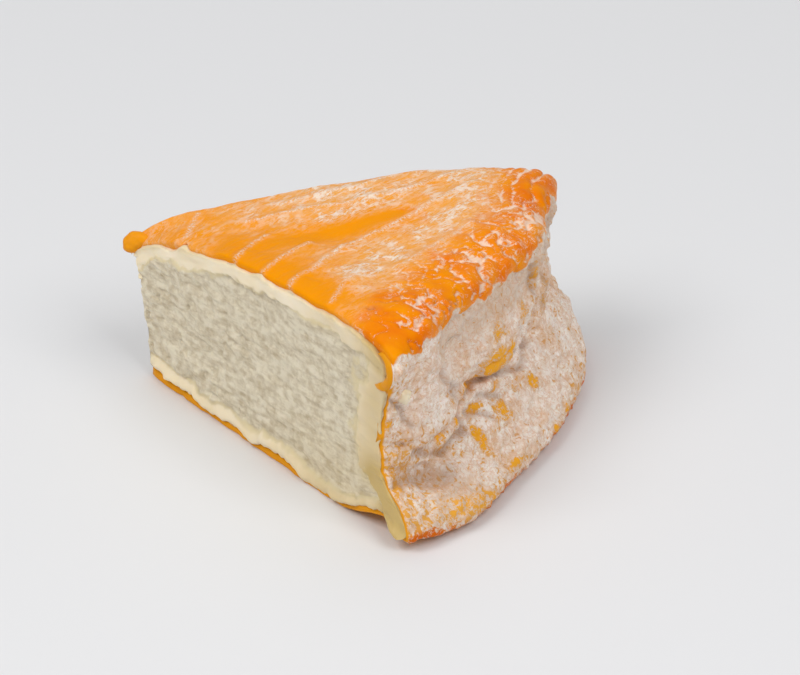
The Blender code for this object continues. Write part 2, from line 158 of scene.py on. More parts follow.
# Bare orange patches of the wall where the bloom is rubbed off: degrees round and height of the
# middle, half width, half height, all in degrees and millimetres, then how bare it is
WALL_PATCHES = (
    (-9.5, 18.0, 1.8, 2.1, 1.1),
    (-11.9, 13.0, 1.2, 4.2, 1.05),
    (-9.2, 12.6, 2.0, 3.0, 0.62),
    (-19.2, 17.2, 1.1, 2.1, 0.95),
    (-14.4, 18.4, 1.0, 1.3, 0.9),
    (-5.5, 14.6, 3.4, 3.6, 0.80),
    (0.0, 17.0, 4.0, 2.0, 0.62),
    (-4.6, 19.4, 1.8, 1.8, 0.80),
    (-1.4, 26.8, 1.5, 4.2, 1.25),
    (-5.4, 27.4, 3.8, 4.2, 1.10),
    (-9.2, 24.6, 3.4, 3.0, 1.00),
    (-4.0, 33.4, 3.0, 4.2, 0.72),
    (3.4, 33.0, 2.4, 3.4, 0.74),
    (-13.0, 29.0, 3.0, 3.0, 0.42),
    (-19.3, 43.5, 0.8, 2.6, 0.90),
    (3.6, 15.0, 1.4, 2.6, 1.0),
    (5.6, 23.0, 1.2, 3.0, 0.7),
    (-29.6, 12.5, 1.1, 4.2, 0.86),
    (-29.8, 29.0, 1.1, 2.6, 0.86),
    (-28.6, 33.6, 0.5, 4.0, 0.8),
    (-8.8, 5.2, 2.6, 0.9, 0.95),
    (2.4, 4.5, 1.4, 1.6, 0.9),
    (6.5, 5.2, 1.2, 1.6, 0.9),
    (-18.5, 5.0, 5.0, 1.8, 0.60),
    (-22.5, 6.0, 3.0, 1.4, 0.60),
    (8.9, 37.0, 1.1, 6.0, 0.80),
    (12.8, 30.0, 1.4, 5.0, 0.80),
    (17.0, 38.0, 1.2, 6.0, 0.78),
    (22.5, 31.0, 1.6, 5.5, 0.78),
    (6.8, 30.0, 0.9, 3.0, 0.75),
    (-12.2, 22.6, 1.2, 1.0, 0.75),
    (-17.0, 26.0, 1.6, 1.8, 0.55),
    (27.0, 22.0, 2.0, 2.5, 0.7),
)
# Sharp folds of the wall's skin: from and to, each as degrees round and height in millimetres, then
# half width and depth in millimetres. The deeper a fold, the darker the shade painted in it.
SKIN_FOLDS = (
    (-15.0, 22.4, -9.1, 22.4, 0.55, 0.55),
    (-9.1, 22.6, -2.4, 20.7, 0.45, 0.55),
    (-2.4, 20.7, 3.0, 18.8, 0.45, 0.55),
    (3.0, 18.8, 7.3, 20.5, 0.60, 0.45),
    (7.3, 20.5, 8.6, 29.0, 0.80, 0.90),
    (8.6, 29.0, 8.2, 40.0, 0.90, 0.50),
    (-17.1, 32.5, -14.6, 25.5, 1.10, 0.50),
    (-13.4, 20.4, -13.2, 16.0, 0.60, 0.60),
    (-13.2, 16.0, -19.5, 14.8, 0.70, 0.70),
    (-19.5, 14.8, -25.0, 17.4, 0.80, 0.60),
    (-11.6, 18.4, -8.4, 15.2, 0.55, 0.45),
    (-8.6, 20.4, -4.0, 16.8, 0.60, 0.50),
    (-30.6, 36.7, -27.7, 31.2, 0.50, 0.55),
    (-27.7, 31.2, -25.7, 25.6, 0.60, 0.50),
    (-29.0, 12.6, -20.0, 11.0, 1.60, 0.60),
    (12.5, 27.0, 13.5, 42.0, 0.90, 0.40),
    (17.5, 24.0, 19.0, 41.0, 1.00, 0.45),
    (25.0, 20.0, 23.0, 40.0, 1.20, 0.50),
)
# Soft swells and hollows of the wall: degrees round and height in millimetres of the middle, half
# width in degrees, half height in millimetres, and how far it stands out in millimetres
WALL_SWELLS = (
    (-14.2, 37.0, 4.2, 8.5, -2.7),
    (-21.4, 38.0, 2.4, 9.0, 1.3),
    (-20.5, 22.0, 4.8, 3.6, 1.6),
    (-26.2, 34.0, 2.2, 5.0, -0.7),
    (-2.5, 26.2, 4.2, 3.4, 1.2),
    (-3.2, 21.6, 6.5, 1.7, 1.1),
    (-22.5, 12.0, 5.5, 2.2, -1.2),
    (4.5, 38.0, 2.2, 7.0, -0.9),
    (-7.5, 13.5, 3.5, 2.6, 0.8),
)
# Spots of the top and the rim where the bloom is thicker, or thinner: place in the plan, reach and
# how much
TOP_SPOTS = (
    (0.0440, 0.0215, 0.0090, 0.50),
    (0.0335, 0.0175, 0.0060, 0.35),
    (0.0430, 0.0087, 0.0050, 0.40),
    (0.0629, 0.0009, 0.0060, -0.10),
    (0.0700, 0.0146, 0.0060, 0.25),
    (0.0643, 0.0180, 0.0060, -0.35),
    (0.0580, -0.0210, 0.0050, 0.40),
    (0.0620, -0.0100, 0.0060, 0.50),
    (0.0665, 0.0005, 0.0050, 0.10),
    (0.0594, 0.0235, 0.0055, -0.25),
    (0.0830, 0.0365, 0.0060, -0.90),
    (0.0760, -0.0400, 0.0045, -0.60),
    (0.0705, -0.0280, 0.0045, -0.60),
    (0.0765, -0.0130, 0.0035, -0.40),
    (0.0840, -0.0040, 0.0045, 0.20),
    (0.0860, 0.0200, 0.0045, 0.25),
    (0.0790, 0.0060, 0.0050, -0.25),
    (0.0800, -0.0470, 0.0030, -0.90),
)
# Small pits of the rim, as place in the plan and reach. Shade is painted in them.
RIM_PITS = ((0.0691, -0.0338, 0.0007), (0.0775, -0.0015, 0.0006), (0.0735, -0.0290, 0.0005))
# Smooth orange band of the top with no bloom: from and to in the plan, and its half width
BARE_BAND = (0.0326, -0.0109, 0.0586, 0.0121, 0.0034)
# How far the rind hangs over the near cut's top edge, over the distance from the axis
OVERHANG_DISTANCES = (
    0.0, 0.004, 0.008, 0.0110, 0.0130, 0.0146, 0.0163, 0.0190, 0.024, 0.034, 0.060, 0.095,
)
OVERHANGS = (
    0.0004, 0.0007, 0.0006, 0.0015, 0.0021, 0.0012, 0.0001, 0.0006, 0.0010, 0.0009, 0.0010, 0.0008,
)
FAR_OVERHANG = 0.0008


SRGB_KNEE, SRGB_SLOPE, SRGB_OFFSET, SRGB_POWER = 0.04045, 12.92, 0.055, 2.4


def linear(hex_colour):
    """An sRGB hex colour as linear red, green, blue and a full alpha."""
    digits = hex_colour.lstrip("#")
    srgb = [int(digits[k : k + 2], 16) / 255 for k in (0, 2, 4)]
    rgb = [
        c / SRGB_SLOPE if c <= SRGB_KNEE else ((c + SRGB_OFFSET) / (1 + SRGB_OFFSET)) ** SRGB_POWER
        for c in srgb
    ]
    return (*rgb, 1.0)


def smooth_curve(places, values, x):
    """A smooth curve through the values: cubic pieces whose slope at each place is the mean slope
    of its two neighbours."""
    places, values = np.asarray(places, float), np.asarray(values, float)
    slopes = np.gradient(values, places)
    x = np.clip(x, places[0], places[-1])
    i = np.clip(np.searchsorted(places, x, side="right") - 1, 0, len(places) - 2)
    width = places[i + 1] - places[i]
    t = (x - places[i]) / width
    start = (1 + 2 * t) * (1 - t) ** 2 * values[i] + t * (1 - t) ** 2 * width * slopes[i]
    end = t * t * (3 - 2 * t) * values[i + 1] - t * t * (1 - t) * width * slopes[i + 1]
    return start + end


def smooth_step(low, high, x):
    """0 below low, 1 above high, and an S-shaped rise between them."""
    t = np.clip((x - low) / (high - low), 0.0, 1.0)
    return t * t * (3 - 2 * t)


def summed_steps(table, measures):
    """A sum of shares, each multiplied by the S-shaped steps of the measures named beside it."""
    total = 0.0
    for share, *steps in table:
        for name, low, high in steps:
            share = share * smooth_step(low, high, measures[name])
        total = total + share
    return total


def bell(x, half_width):
    """1 at nothing and falling away on both sides, as e to the minus square."""
    return np.exp(-((x / half_width) ** 2))


# Large odd numbers that mix a corner's three whole numbers and a seed into 32 even-handed bits
MIX_AXES = (73856093, 19349663, 83492791)
MIX_SEED = 2654435761
MIX_ROUNDS = ((15, 2246822519), (13, 3266489917))
LAST_SHIFT = 16
ALL_BITS = 0xFFFFFFFF


def corner_values(corner, seed):
    """A fixed value from -1 to 1 for each whole-number corner, mixed from its three numbers."""
    mixed = np.bitwise_xor.reduce(corner * MIX_AXES, axis=-1)
    mixed = (mixed ^ seed * MIX_SEED) & ALL_BITS
    for shift, factor in MIX_ROUNDS:
        mixed = (mixed ^ (mixed >> shift)) * factor & ALL_BITS
    return (mixed ^ (mixed >> LAST_SHIFT)) / (ALL_BITS / 2) - 1.0


def lumps(points, spacing, seed, octaves=2):
    """Soft lumps: values on a cubic grid blended by S-curves, with finer, lower layers added."""
    total = np.zeros(points.shape[:-1])
    for octave in range(octaves):
        scaled = points * (2.0**octave / spacing) + 0.37 * octave
        base = np.floor(scaled).astype(np.int64)
        t = scaled - base
        t = t * t * (3 - 2 * t)
        for corner in np.ndindex(2, 2, 2):
            corner = np.array(corner)
            weight = np.prod(np.where(corner == 1, t, 1 - t), axis=-1)
            total += weight * corner_values(base + corner, seed + octave) / 2.0**octave
    return total


def warped(points, spacing, seed, amount):
    """The points, each pushed about by soft lumps, so that a pattern on them wanders."""
    push = [lumps(points, spacing, seed + 7 * k) for k in range(3)]
    return points + amount * np.stack(push, -1)


def stroke(x, y, x0, y0, x1, y1, half_width):
    """1 on the line from (x0, y0) to (x1, y1), falling away beside it as a bell curve."""
    along = ((x - x0) * (x1 - x0) + (y - y0) * (y1 - y0)) / ((x1 - x0) ** 2 + (y1 - y0) ** 2)
    along = np.clip(along, 0.0, 1.0)
    distance2 = (x - x0 - along * (x1 - x0)) ** 2 + (y - y0 - along * (y1 - y0)) ** 2
    return np.exp(-distance2 / (2 * half_width**2))


def wall_radius(degrees, height):
    """The wall: a waist that leans out to the shoulder above, and a skirt that spreads below."""
    waist = smooth_curve(STATIONS, WAIST_RADII, degrees)
    shoulder = smooth_curve(STATIONS, SHOULDER_RADII, degrees)
    skirt = smooth_curve(STATIONS, SKIRT_RADII, degrees)
    reach = smooth_curve(STATIONS, SKIRT_REACHES, degrees)
    rise = np.maximum(height - SKIRT_HEIGHT, 0.0)
    spread = np.exp(-((rise / reach) ** 2))
    lean = smooth_step(0.030, 0.046, height)
    return waist + (shoulder - waist) * lean + (skirt - waist) * spread


def top_height(degrees, distance):
    """The top: low at the axis and higher outwards, blended from the near cut through the middle
    to the far cut, and dragged down a little along both cuts."""
    near = smooth_curve(TOP_DISTANCES, TOP_NEAR, distance)
    middle = smooth_curve(TOP_DISTANCES, TOP_MIDDLE, distance)
    far = smooth_curve(TOP_DISTANCES, TOP_FAR, distance)
    share = degrees / HALF_ANGLE
    to_near, to_far = np.clip(-share, 0, 1) ** 1.5, np.clip(share, 0, 1) ** 1.5
    height = middle + (near - middle) * to_near + (far - middle) * to_far
    from_near = distance * np.sin(np.radians(degrees + HALF_ANGLE))
    from_far = distance * np.sin(np.radians(HALF_ANGLE - degrees))
    height = height - CUT_ROLL * np.exp(-from_near / ROLL_REACH)
    return height - FAR_ROLL * np.exp(-from_far / ROLL_REACH)


def control_ring(degrees):
    """Control points of the section at each angle, as distance from the axis and height: along the
    base outwards, up the wall, back over the top, and down the thin end."""
    distances, heights = [], []

    def add(distance, height):
        distances.append(distance + 0.0 * degrees)
        heights.append(height + 0.0 * degrees)

    foot = wall_radius(degrees, SKIRT_HEIGHT)
    shoulder = wall_radius(degrees, SHOULDER_HEIGHT)
    rim_top = top_height(degrees, shoulder)
    tip_top = top_height(degrees, TIP_RADIUS)
    add(TIP_RADIUS, 0.0)
    add(TIP_RADIUS, 0.0)
    for share in BASE_SHARES:
        add(foot * share, 0.0)
    for inset, height in FOOT_INSETS:
        add(foot - inset, height)
    for height in WALL_HEIGHTS:
        add(wall_radius(degrees, height), height)
    for inset, drop in RIM_INSETS:
        add(shoulder - inset, rim_top - drop)
    for share in TOP_SHARES:
        add(shoulder * share, top_height(degrees, shoulder * share))
    add(TIP_RADIUS, tip_top)
    add(TIP_RADIUS, tip_top)
    for share in TIP_SHARES:
        add(TIP_RADIUS, tip_top * share)
    return np.array(distances), np.array(heights)


def on_ring(ring, place):
    """The closed cubic B-spline of the ring's control points, at a place counted along them."""
    count = len(ring[0])
    i = np.floor(place).astype(int)
    t = place - i
    weights = (
        (1 - t) ** 3 / 6,
        (3 * t**3 - 6 * t**2 + 4) / 6,
        (-3 * t**3 + 3 * t**2 + 3 * t + 1) / 6,
        t**3 / 6,
    )
    columns = np.arange(len(place))
    picked = [(i + step - 1) % count for step in range(4)]
    distance = sum(w * ring[0][p, columns] for w, p in zip(weights, picked))
    height = sum(w * ring[1][p, columns] for w, p in zip(weights, picked))
    return distance, height


def wall_relief(degrees, height):
    """How far the wall stands out at each point, from its bumps, its creases and slight lumps."""
    round_way = np.radians(degrees) * MEAN_RADIUS
    out = np.zeros_like(height)
    for angle, at, half_width, half_height, size in WALL_BUMPS:
        across = (round_way - math.radians(angle) * MEAN_RADIUS) / half_width
        up = (height - at) / half_height
        out += size * np.exp(-0.5 * (across**2 + up**2))
    for from_angle, from_height, to_angle, to_height, half_width, depth in WALL_CREASES:
        start = math.radians(from_angle) * MEAN_RADIUS
        end = math.radians(to_angle) * MEAN_RADIUS
        line = stroke(round_way, height, start, from_height, end, to_height, half_width)
        out -= depth * line
    ridge = (round_way - math.radians(RIDGE_AT) * MEAN_RADIUS) / RIDGE_WIDTH
    out += RIDGE_OUT * np.exp(-(ridge**2)) * smooth_step(0.020, 0.036, height)
    places = np.stack([round_way, height * 1.4, 0.0 * height], -1)
    return out + WALL_LUMP_HEIGHT * lumps(places, WALL_LUMP, 11)


def top_relief(across_x, across_y):
    """How far the top stands up at each point of the plan, from its wrinkles and slight lumps."""
    up = np.zeros_like(across_x)
    for x0, y0, x1, y1, half_width, size in TOP_WRINKLES:
        up += 0.6 * size * stroke(across_x, across_y, x0, y0, x1, y1, half_width)
    places = np.stack([across_x, across_y * 0.7, 0.0 * across_x], -1)
    return up + RIND_LUMP_HEIGHT * lumps(places, RIND_LUMP, 5)


def pleats(degrees):
    """How far the rim stands out and up at each angle: uneven folds, and the near cut's ear."""
    round_way = np.radians(degrees) * MEAN_RADIUS
    places = np.stack([round_way, 0.0 * degrees, 0.0 * degrees], -1)
    at_ear = bell(np.radians(degrees + HALF_ANGLE) * MEAN_RADIUS, EAR_WIDTH)
    out = PLEAT_OUT * lumps(places, PLEAT_SPACING, 31) + EAR_OUT * at_ear
    return out, PLEAT_UP * lumps(places, PLEAT_SPACING, 47)


def section_point(place, degrees):
    """Distance from the axis and height of the rind at a place on the ring, with its relief."""
    ring = control_ring(degrees)
    distance, height = on_ring(ring, place)
    shoulder = wall_radius(degrees, SHOULDER_HEIGHT)
    on_wall = smooth_step(0.003, 0.009, height) * smooth_step(RIM_EDGE + 0.6, RIM_EDGE - 1.4, place)
    on_wall = on_wall * (place > BASE_EDGE)
    on_top = smooth_step(RIM_EDGE - 0.6, RIM_EDGE + 1.5, place)
    on_top = on_top * smooth_step(TIP_RADIUS, 0.006, distance) * (place < TIP_TOP)
    angle = np.radians(degrees)
    raised = top_relief(distance * np.cos(angle), distance * np.sin(angle))
    stands_out = wall_relief(degrees, height)
    out, up = pleats(degrees)
    from_rim = np.hypot(np.minimum(distance - shoulder, 0.0), np.minimum(height - 0.047, 0.0))
    near_rim = np.exp(-((from_rim / PLEAT_REACH) ** 2)) * (place > BASE_EDGE) * (place < TIP_TOP)
    distance = distance + on_wall * stands_out + near_rim * out
    height = height + on_top * raised + near_rim * up
    return distance, height


def foot_lift(degrees, distance, height):
    """How far the base is lifted off what it rests on, beside the near cut's outer end."""
    from_near = distance * np.sin(np.radians(degrees + HALF_ANGLE))
    hump = np.exp(-(((distance - FOOT_LIFT_DISTANCE) / FOOT_LIFT_REACH) ** 2))
    fade = smooth_step(2 * FOOT_LIFT_REACH, 0.0, from_near)
    return FOOT_LIFT * hump * fade * smooth_step(0.024, 0.0, height)


def to_space(distance, height, degrees):
    """Turns angle, distance and height into a point, with the tip's lean and the foot's lift."""
    angle = np.radians(degrees)
    lean = TIP_LEAN * (height / 0.04) ** 2 * np.exp(-distance / LEAN_REACH)
    x = distance * np.cos(angle) - lean + AXIS_X
    y = distance * np.sin(angle) + AXIS_Y
    return np.stack([x, y, height + foot_lift(degrees, distance, height)], -1)


def overhang(distance, side):
    """How far the rind hangs over the top edge of a cut: uneven, and along the near cut with the
    flap and the nick near the thin end that the stated curve gives."""
    line = np.stack([distance, distance * 0.0, distance * 0.0], -1)
    torn = 0.00035 * lumps(line, 0.0034, 61, 3)
    near = smooth_curve(OVERHANG_DISTANCES, OVERHANGS, distance)
    stated = near if side < 0 else FAR_OVERHANG
    return np.maximum(stated + torn, 0.0)


def surface_normals(grid):
    """Unit normals of a grid of points: the cross product of its two ways' differences."""
    along = np.gradient(grid, axis=0)
    across = np.gradient(grid, axis=1)
    normal = np.cross(along, across)
    return normal / np.maximum(np.linalg.norm(normal, axis=-1, keepdims=True), 1e-12)


def quads_of(index):
    """The four-sided faces between the rows and columns of a grid of point numbers."""
    corners = (index[:-1, :-1], index[1:, :-1], index[1:, 1:], index[:-1, 1:])
    return np.stack([c.ravel() for c in corners], -1)


def volume_inside(points, triangles):
    """Six times the volume that the triangles shut in, positive where they face outwards."""
    a, b, c = (points[triangles[:, k]] for k in range(3))
    return float(np.einsum("ij,ij->", a, np.cross(b, c)))


def make_piece(name, points, quads, triangles, masks, material):
    halves = [quads[:, (0, 1, 2)], quads[:, (0, 2, 3)]] if len(quads) else []
    whole = np.concatenate([*halves, triangles]) if len(triangles) else np.concatenate(halves)
    if volume_inside(points, whole) < 0:
        quads, triangles = quads[:, ::-1], triangles[:, ::-1]
    mesh = bpy.data.meshes.new(name)
    mesh.from_pydata(points.tolist(), [], quads.tolist() + triangles.tolist())
    for mask, values in masks.items():
        layer = mesh.attributes.new(mask, "FLOAT", "POINT")
        layer.data.foreach_set("value", np.asarray(values, np.float32).ravel())
    mesh.shade_smooth()
    piece = bpy.data.objects.new(name, mesh)
    bpy.context.scene.collection.objects.link(piece)
    piece.data.materials.append(material)
    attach(piece, "root")
    return piece


NO_TRIANGLES = np.zeros((0, 3), int)


# The paste

PASTE_ROWS_OUT, PASTE_ROWS_ROUND, PASTE_ROWS_UP = 250, 26, 132
# The cream's width under the top, inside the wall and over the base's rind, and, as shares of that
# width, where it starts and ends turning into chalk
CREAM_TOP, TOP_BORDER = 0.0052, (0.82, 1.12)
CREAM_WALL, WALL_BORDER = 0.0100, (0.80, 1.12)
CREAM_BASE, BASE_BORDER = 0.0028, (0.85, 1.35)
# Relief of the chalky middle: the spacing of each kind of lump, and how far it stands out
STREAK = (0.36, 1.0, 1.0)
TORN_SPACING, TORN_HEIGHT = 0.0026, 0.00036
CRAG_SPACING, CRAG_HEIGHT = 0.0046, 0.00044
CURD_SPACING, CURD_HEIGHT = 0.0024, 0.00030
HOLE_SPACING, HOLE_DEPTH = 0.0022, 0.00060
SWELL_SPACING, SWELL_HEIGHT = 0.0200, 0.00090
# Relief of the cream: its drawn ridges, its smears and how far it swells under the top and the wall
RIDGE_SPACING, RIDGE_HEIGHT = 0.0018, 0.00022
SMEAR_SPACING, SMEAR_HEIGHT = 0.0050, 0.00032
SWELL_UNDER_TOP, SWELL_INSIDE_WALL = 0.00060, 0.00035
BORDER_DEPTH = 0.00028
# The lip and the groove along the base: height over the rind, half width, and how far out or in
LIP_AT, LIP_WIDTH, LIP_OUT = 0.0010, 0.0014, 0.00085
GROOVE_AT, GROOVE_WIDTH, GROOVE_DEPTH = 0.0042, 0.0013, 0.00030
RIND_ON_WALL = 0.00070
# How thick the rind shows along the base, over the distance from the axis, in millimetres
BASE_RIND_DISTANCES = (0, 8, 14, 20, 26, 31, 37, 41, 45, 51, 57, 61, 70, 76, 88, 95)
BASE_RINDS = (3.0, 3.1, 3.0, 2.3, 1.6, 2.0, 1.9, 1.0, 2.1, 2.5, 1.9, 0.5, 0.5, 1.3, 1.3, 1.0)
LEAST_BASE_RIND, MOST_BASE_RIND = 0.0004, 0.0034
UNDER_RIND = 0.0036
EAR_DISTANCE = 0.0930
EAR_HEIGHT = 0.0462
EAR_REACH = 0.0050
EAR_THICKNESS = 0.0020
EAR_LENGTH = 0.0035
EAR_CREASE = (0.0866, 0.0487, 0.0918, 0.0476, 0.00040)
EAR_CREASE_DEPTH = 0.0009
CREAM_ROUND = 0.0006
PASTE_OFF_FLOOR = 0.0002


def base_rind(distance):
    """How thick the rind shows under the paste along the base: as stated, and toothed."""
    line = np.stack([distance, distance * 0.0, distance * 0.0], -1)
    stated = smooth_curve(np.array(BASE_RIND_DISTANCES) * MM, np.array(BASE_RINDS) * MM, distance)
    uneven = 0.00040 * lumps(line, 0.0034, 63, 2) + 0.00035 * lumps(line, 0.0013, 66, 2)
    return np.clip(stated + uneven, LEAST_BASE_RIND, MOST_BASE_RIND)


def ear(distance, height, degrees):
    """1 in the ear, the thick lobe of rind round the rim's corner at the near cut, and 0 away."""
    round_way = np.maximum(np.radians(degrees + HALF_ANGLE) * MEAN_RADIUS, 0.0)
    away = np.hypot(distance - EAR_DISTANCE, height - EAR_HEIGHT)
    return bell(away, EAR_REACH) * bell(round_way, EAR_LENGTH)


def paste_section(place, degrees):
    """The section of the paste: the rind's section drawn in by the part of the rind that lies over
    it, down from the top, in from the wall and up from the base, and by more away from the cuts."""
    distance, height = section_point(place, degrees)
    down_tip = np.clip((place - TIP_TOP) / (RING_END - TIP_TOP), 0, 1)
    wallness = smooth_step(BASE_EDGE - 1.5, BASE_EDGE + 0.5, place)
    wallness = wallness * smooth_step(RIM_EDGE + 0.5, RIM_EDGE - 1.0, place)
    baseness = smooth_step(BASE_EDGE + 1.5, BASE_EDGE - 0.5, place) + down_tip
    topness = smooth_step(RIM_EDGE - 1.5, RIM_EDGE + 0.5, place) * (1 - down_tip)
    from_cut = distance * np.sin(np.radians(HALF_ANGLE - np.abs(degrees)))
    deeper = UNDER_RIND * smooth_step(0.0, 0.006, from_cut)
    hang = np.where(degrees < 0, overhang(distance, -1.0), overhang(distance, 1.0)) + 0.00010
    lobe = EAR_THICKNESS * ear(distance, height, degrees)
    height = height + base_rind(distance) * baseness - (hang + deeper + lobe) * topness
    distance = distance - (RIND_ON_WALL + deeper) * wallness - lobe
    return distance, height


def filled_section(outwards, upwards, degrees):
    """Points inside the paste's section, filled in between its four sides by a Coons patch."""
    base = paste_section(BASE_START + (BASE_EDGE - BASE_START) * outwards, degrees)
    top = paste_section(TIP_TOP + (RIM_EDGE - TIP_TOP) * outwards, degrees)
    wall = paste_section(BASE_EDGE + (RIM_EDGE - BASE_EDGE) * upwards, degrees)
    tip = paste_section(RING_END + (TIP_TOP - RING_END) * upwards, degrees)
    ends = [
        paste_section(np.full_like(degrees, place), degrees)
        for place in (BASE_START, BASE_EDGE, TIP_TOP, RIM_EDGE)
    ]
    filled = []
    for k in range(2):
        sides = (1 - upwards) * base[k] + upwards * top[k]
        sides += (1 - outwards) * tip[k] + outwards * wall[k]
        below = (1 - outwards) * ends[0][k] + outwards * ends[1][k]
        above = (1 - outwards) * ends[2][k] + outwards * ends[3][k]
        filled.append(sides - (1 - upwards) * below - upwards * above)
    return filled


def box_lattice(rows_out, rows_round, rows_up):
    """The surface of a unit box as a lattice of points, each point once, and its quads."""
    sizes = (rows_out, rows_round, rows_up)
    keys, quads, start = [], [], 0
    for fixed in range(3):
        first, second = [way for way in range(3) if way != fixed]
        i, j = np.meshgrid(np.arange(sizes[first] + 1), np.arange(sizes[second] + 1), indexing="ij")
        for end in (0, sizes[fixed]):
            corner = np.zeros((*i.shape, 3), np.int64)
            corner[..., first], corner[..., second], corner[..., fixed] = i, j, end
            index = start + np.arange(i.size).reshape(i.shape)
            faces = quads_of(index)
            turned = (end == 0) == (fixed != 1)
            quads.append(faces[:, ::-1] if turned else faces)
            keys.append(corner.reshape(-1, 3))
            start += i.size
    corners = np.concatenate(keys)
    code = (corners[:, 0] * 4096 + corners[:, 1]) * 4096 + corners[:, 2]
    _, first_at, renumber = np.unique(code, return_index=True, return_inverse=True)
    points = corners[first_at] / np.array(sizes, float)
    return points, renumber[np.concatenate(quads)]


def crowded_ends(t, share, crowd):
    """Spreads numbers from 0 to 1 so that a share of them crowds against each end."""
    edge = np.minimum(t, 1 - t)
    near = crowd * (edge / share) ** 2
    middle = crowd + (0.5 - crowd) * (edge - share) / (0.5 - share)
    moved = np.where(edge < share, near, middle)
    return np.where(t < 0.5, moved, 1 - moved)


def cut_relief(distance, height, side, degrees):
    """How far the cut stands out, and its share of cream: a creamy band that swells under the rind,
    a wavy lip along the base with a groove over it, and a crumbly chalky middle that the knife has
    torn into short streaks. The cream is drawn out along the rind."""
    seed = 100 if side < 0 else 200
    flat = np.stack([distance, height, 0.0 * height], -1)
    line = np.stack([distance, 0.0 * height, 0.0 * height], -1)
    from_top = top_height(degrees, distance) - height
    from_wall = wall_radius(degrees, height) - distance
    above_rind = height - base_rind(distance)
    wander = 0.22 * lumps(flat, 0.006, seed) + 0.14 * lumps(flat, 0.0016, seed + 1, 3)
    in_top = 1 - smooth_step(*TOP_BORDER, from_top / CREAM_TOP + wander)
    in_wall = 1 - smooth_step(*WALL_BORDER, from_wall / CREAM_WALL + wander)
    in_base = 1 - smooth_step(*BASE_BORDER, above_rind / CREAM_BASE + wander)
    cream = np.maximum(np.maximum(in_top, in_wall), in_base)

    crumbly = smooth_step(0.060, 0.012, distance)
    streaky = warped(flat * STREAK, 0.004, seed + 2, 0.0014)
    torn = np.clip(1.8 * np.abs(lumps(streaky, TORN_SPACING, seed + 3, 2)), 0, 1) ** 0.8
    holes = smooth_step(0.55, 0.95, lumps(flat, HOLE_SPACING, seed + 5, 2))
    crags = TORN_HEIGHT * (torn - 0.6) + CRAG_HEIGHT * lumps(streaky, CRAG_SPACING, seed + 9, 2)
    crags += CURD_HEIGHT * (0.20 + crumbly) * lumps(flat, CURD_SPACING, seed + 4, 2)
    crags -= HOLE_DEPTH * holes * (0.2 + crumbly)
    crags += SWELL_HEIGHT * lumps(flat, SWELL_SPACING, seed + 12, 1)

    along_rind = np.stack([from_top, from_wall * 0.25, 0 * height], -1)
    drawn = RIDGE_HEIGHT * lumps(along_rind, RIDGE_SPACING, seed + 7, 2)
    drawn += SMEAR_HEIGHT * lumps(flat, SMEAR_SPACING, seed + 10, 2)
    border = bell(in_wall - 0.5, 0.35) + 0.5 * bell(in_top - 0.5, 0.35) * (1 - crumbly)
    drips = 1 + 0.75 * lumps(line, 0.0045, seed + 11, 3)
    lip = bell(above_rind - LIP_AT, LIP_WIDTH) * drips
    groove_at = GROOVE_AT + 0.0010 * lumps(line, 0.008, seed + 8)
    groove = bell(above_rind - groove_at, GROOVE_WIDTH) * (1 - in_wall)

    out = (1 - cream) * crags + cream * drawn
    out += SWELL_UNDER_TOP * in_top + SWELL_INSIDE_WALL * in_wall + LIP_OUT * lip
    out -= GROOVE_DEPTH * groove + BORDER_DEPTH * border
    if side < 0:
        out -= EAR_CREASE_DEPTH * stroke(distance, height, *EAR_CREASE)
    lobe = EAR_THICKNESS * ear(distance, height, degrees)
    edge = np.minimum(from_top - overhang(distance, side), from_wall - RIND_ON_WALL) - lobe
    inside = np.clip(np.minimum(edge, above_rind) / CREAM_ROUND, 0, 1)
    out -= CREAM_ROUND * (1 - np.sqrt(1 - (1 - inside) ** 2))
    return np.maximum(out, -0.28 * distance), cream


# How ripe the paste is, with shade painted in its low outer corner: shares, each with the measures
# in metres between which it comes in
RIPENING_AND_SHADE = (
    (0.60, ("from_wall", 0.0150, 0.0030)),
    # Low down beside the wall: ripening, and painted shade in the corner
    (0.40, ("from_wall", 0.0150, 0.0030), ("height", 0.026, 0.006)),
    (0.35, ("from_top", 0.0020, 0.0008)),
    (0.22, ("height", 0.0080, 0.0020)),
    (0.25, ("from_wall", 0.0360, 0.0200), ("from_top", 0.0075, 0.0050)),
    (0.35, ("height", 0.024, 0.008), ("distance", 0.040, 0.072)),
)


def ripeness_and_shade(degrees, distance, height):
    """How ripe and dark the paste is, from 0 to 1: most beside the wall and low down, a little in a
    line right under the top's rind, and in a band along the top's outer end. Low down beside the
    wall the darkening is partly painted shade of the outer lower corner."""
    measures = {
        "from_wall": wall_radius(degrees, height) - distance,
        "from_top": top_height(degrees, distance) - height,
        "height": height,
        "distance": distance,
    }
    return np.clip(summed_steps(RIPENING_AND_SHADE, measures), 0, 1)


def build_paste(material):
    """The paste as one closed solid with both cut faces in fine relief."""
    lattice, quads = box_lattice(PASTE_ROWS_OUT, PASTE_ROWS_ROUND, PASTE_ROWS_UP)
    outwards, around, upwards = lattice.T
    around = crowded_ends(around, 0.25, 0.03)
    degrees = HALF_ANGLE * (2 * around - 1)
    distance, height = filled_section(outwards, upwards, degrees)
    points = to_space(distance, height, degrees)
    cream = np.ones(len(points))
    for side in (-1.0, 1.0):
        here = around == (1.0 if side > 0 else 0.0)
        out, share = cut_relief(distance[here], height[here], side, degrees[here])
        angle = math.radians(HALF_ANGLE) * side
        points[here] += out[:, None] * (-math.sin(angle) * side, math.cos(angle) * side, 0.0)
        cream[here] = share
    points[:, 2] = np.maximum(points[:, 2], PASTE_OFF_FLOOR)
    masks = {"cream": cream, "rim": ripeness_and_shade(degrees, distance, height)}
    paste = make_piece("paste", points, quads, NO_TRIANGLES, masks, material)
    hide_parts("cheese_wedge")
    return paste


# The rind

RIND_COLUMNS = 220
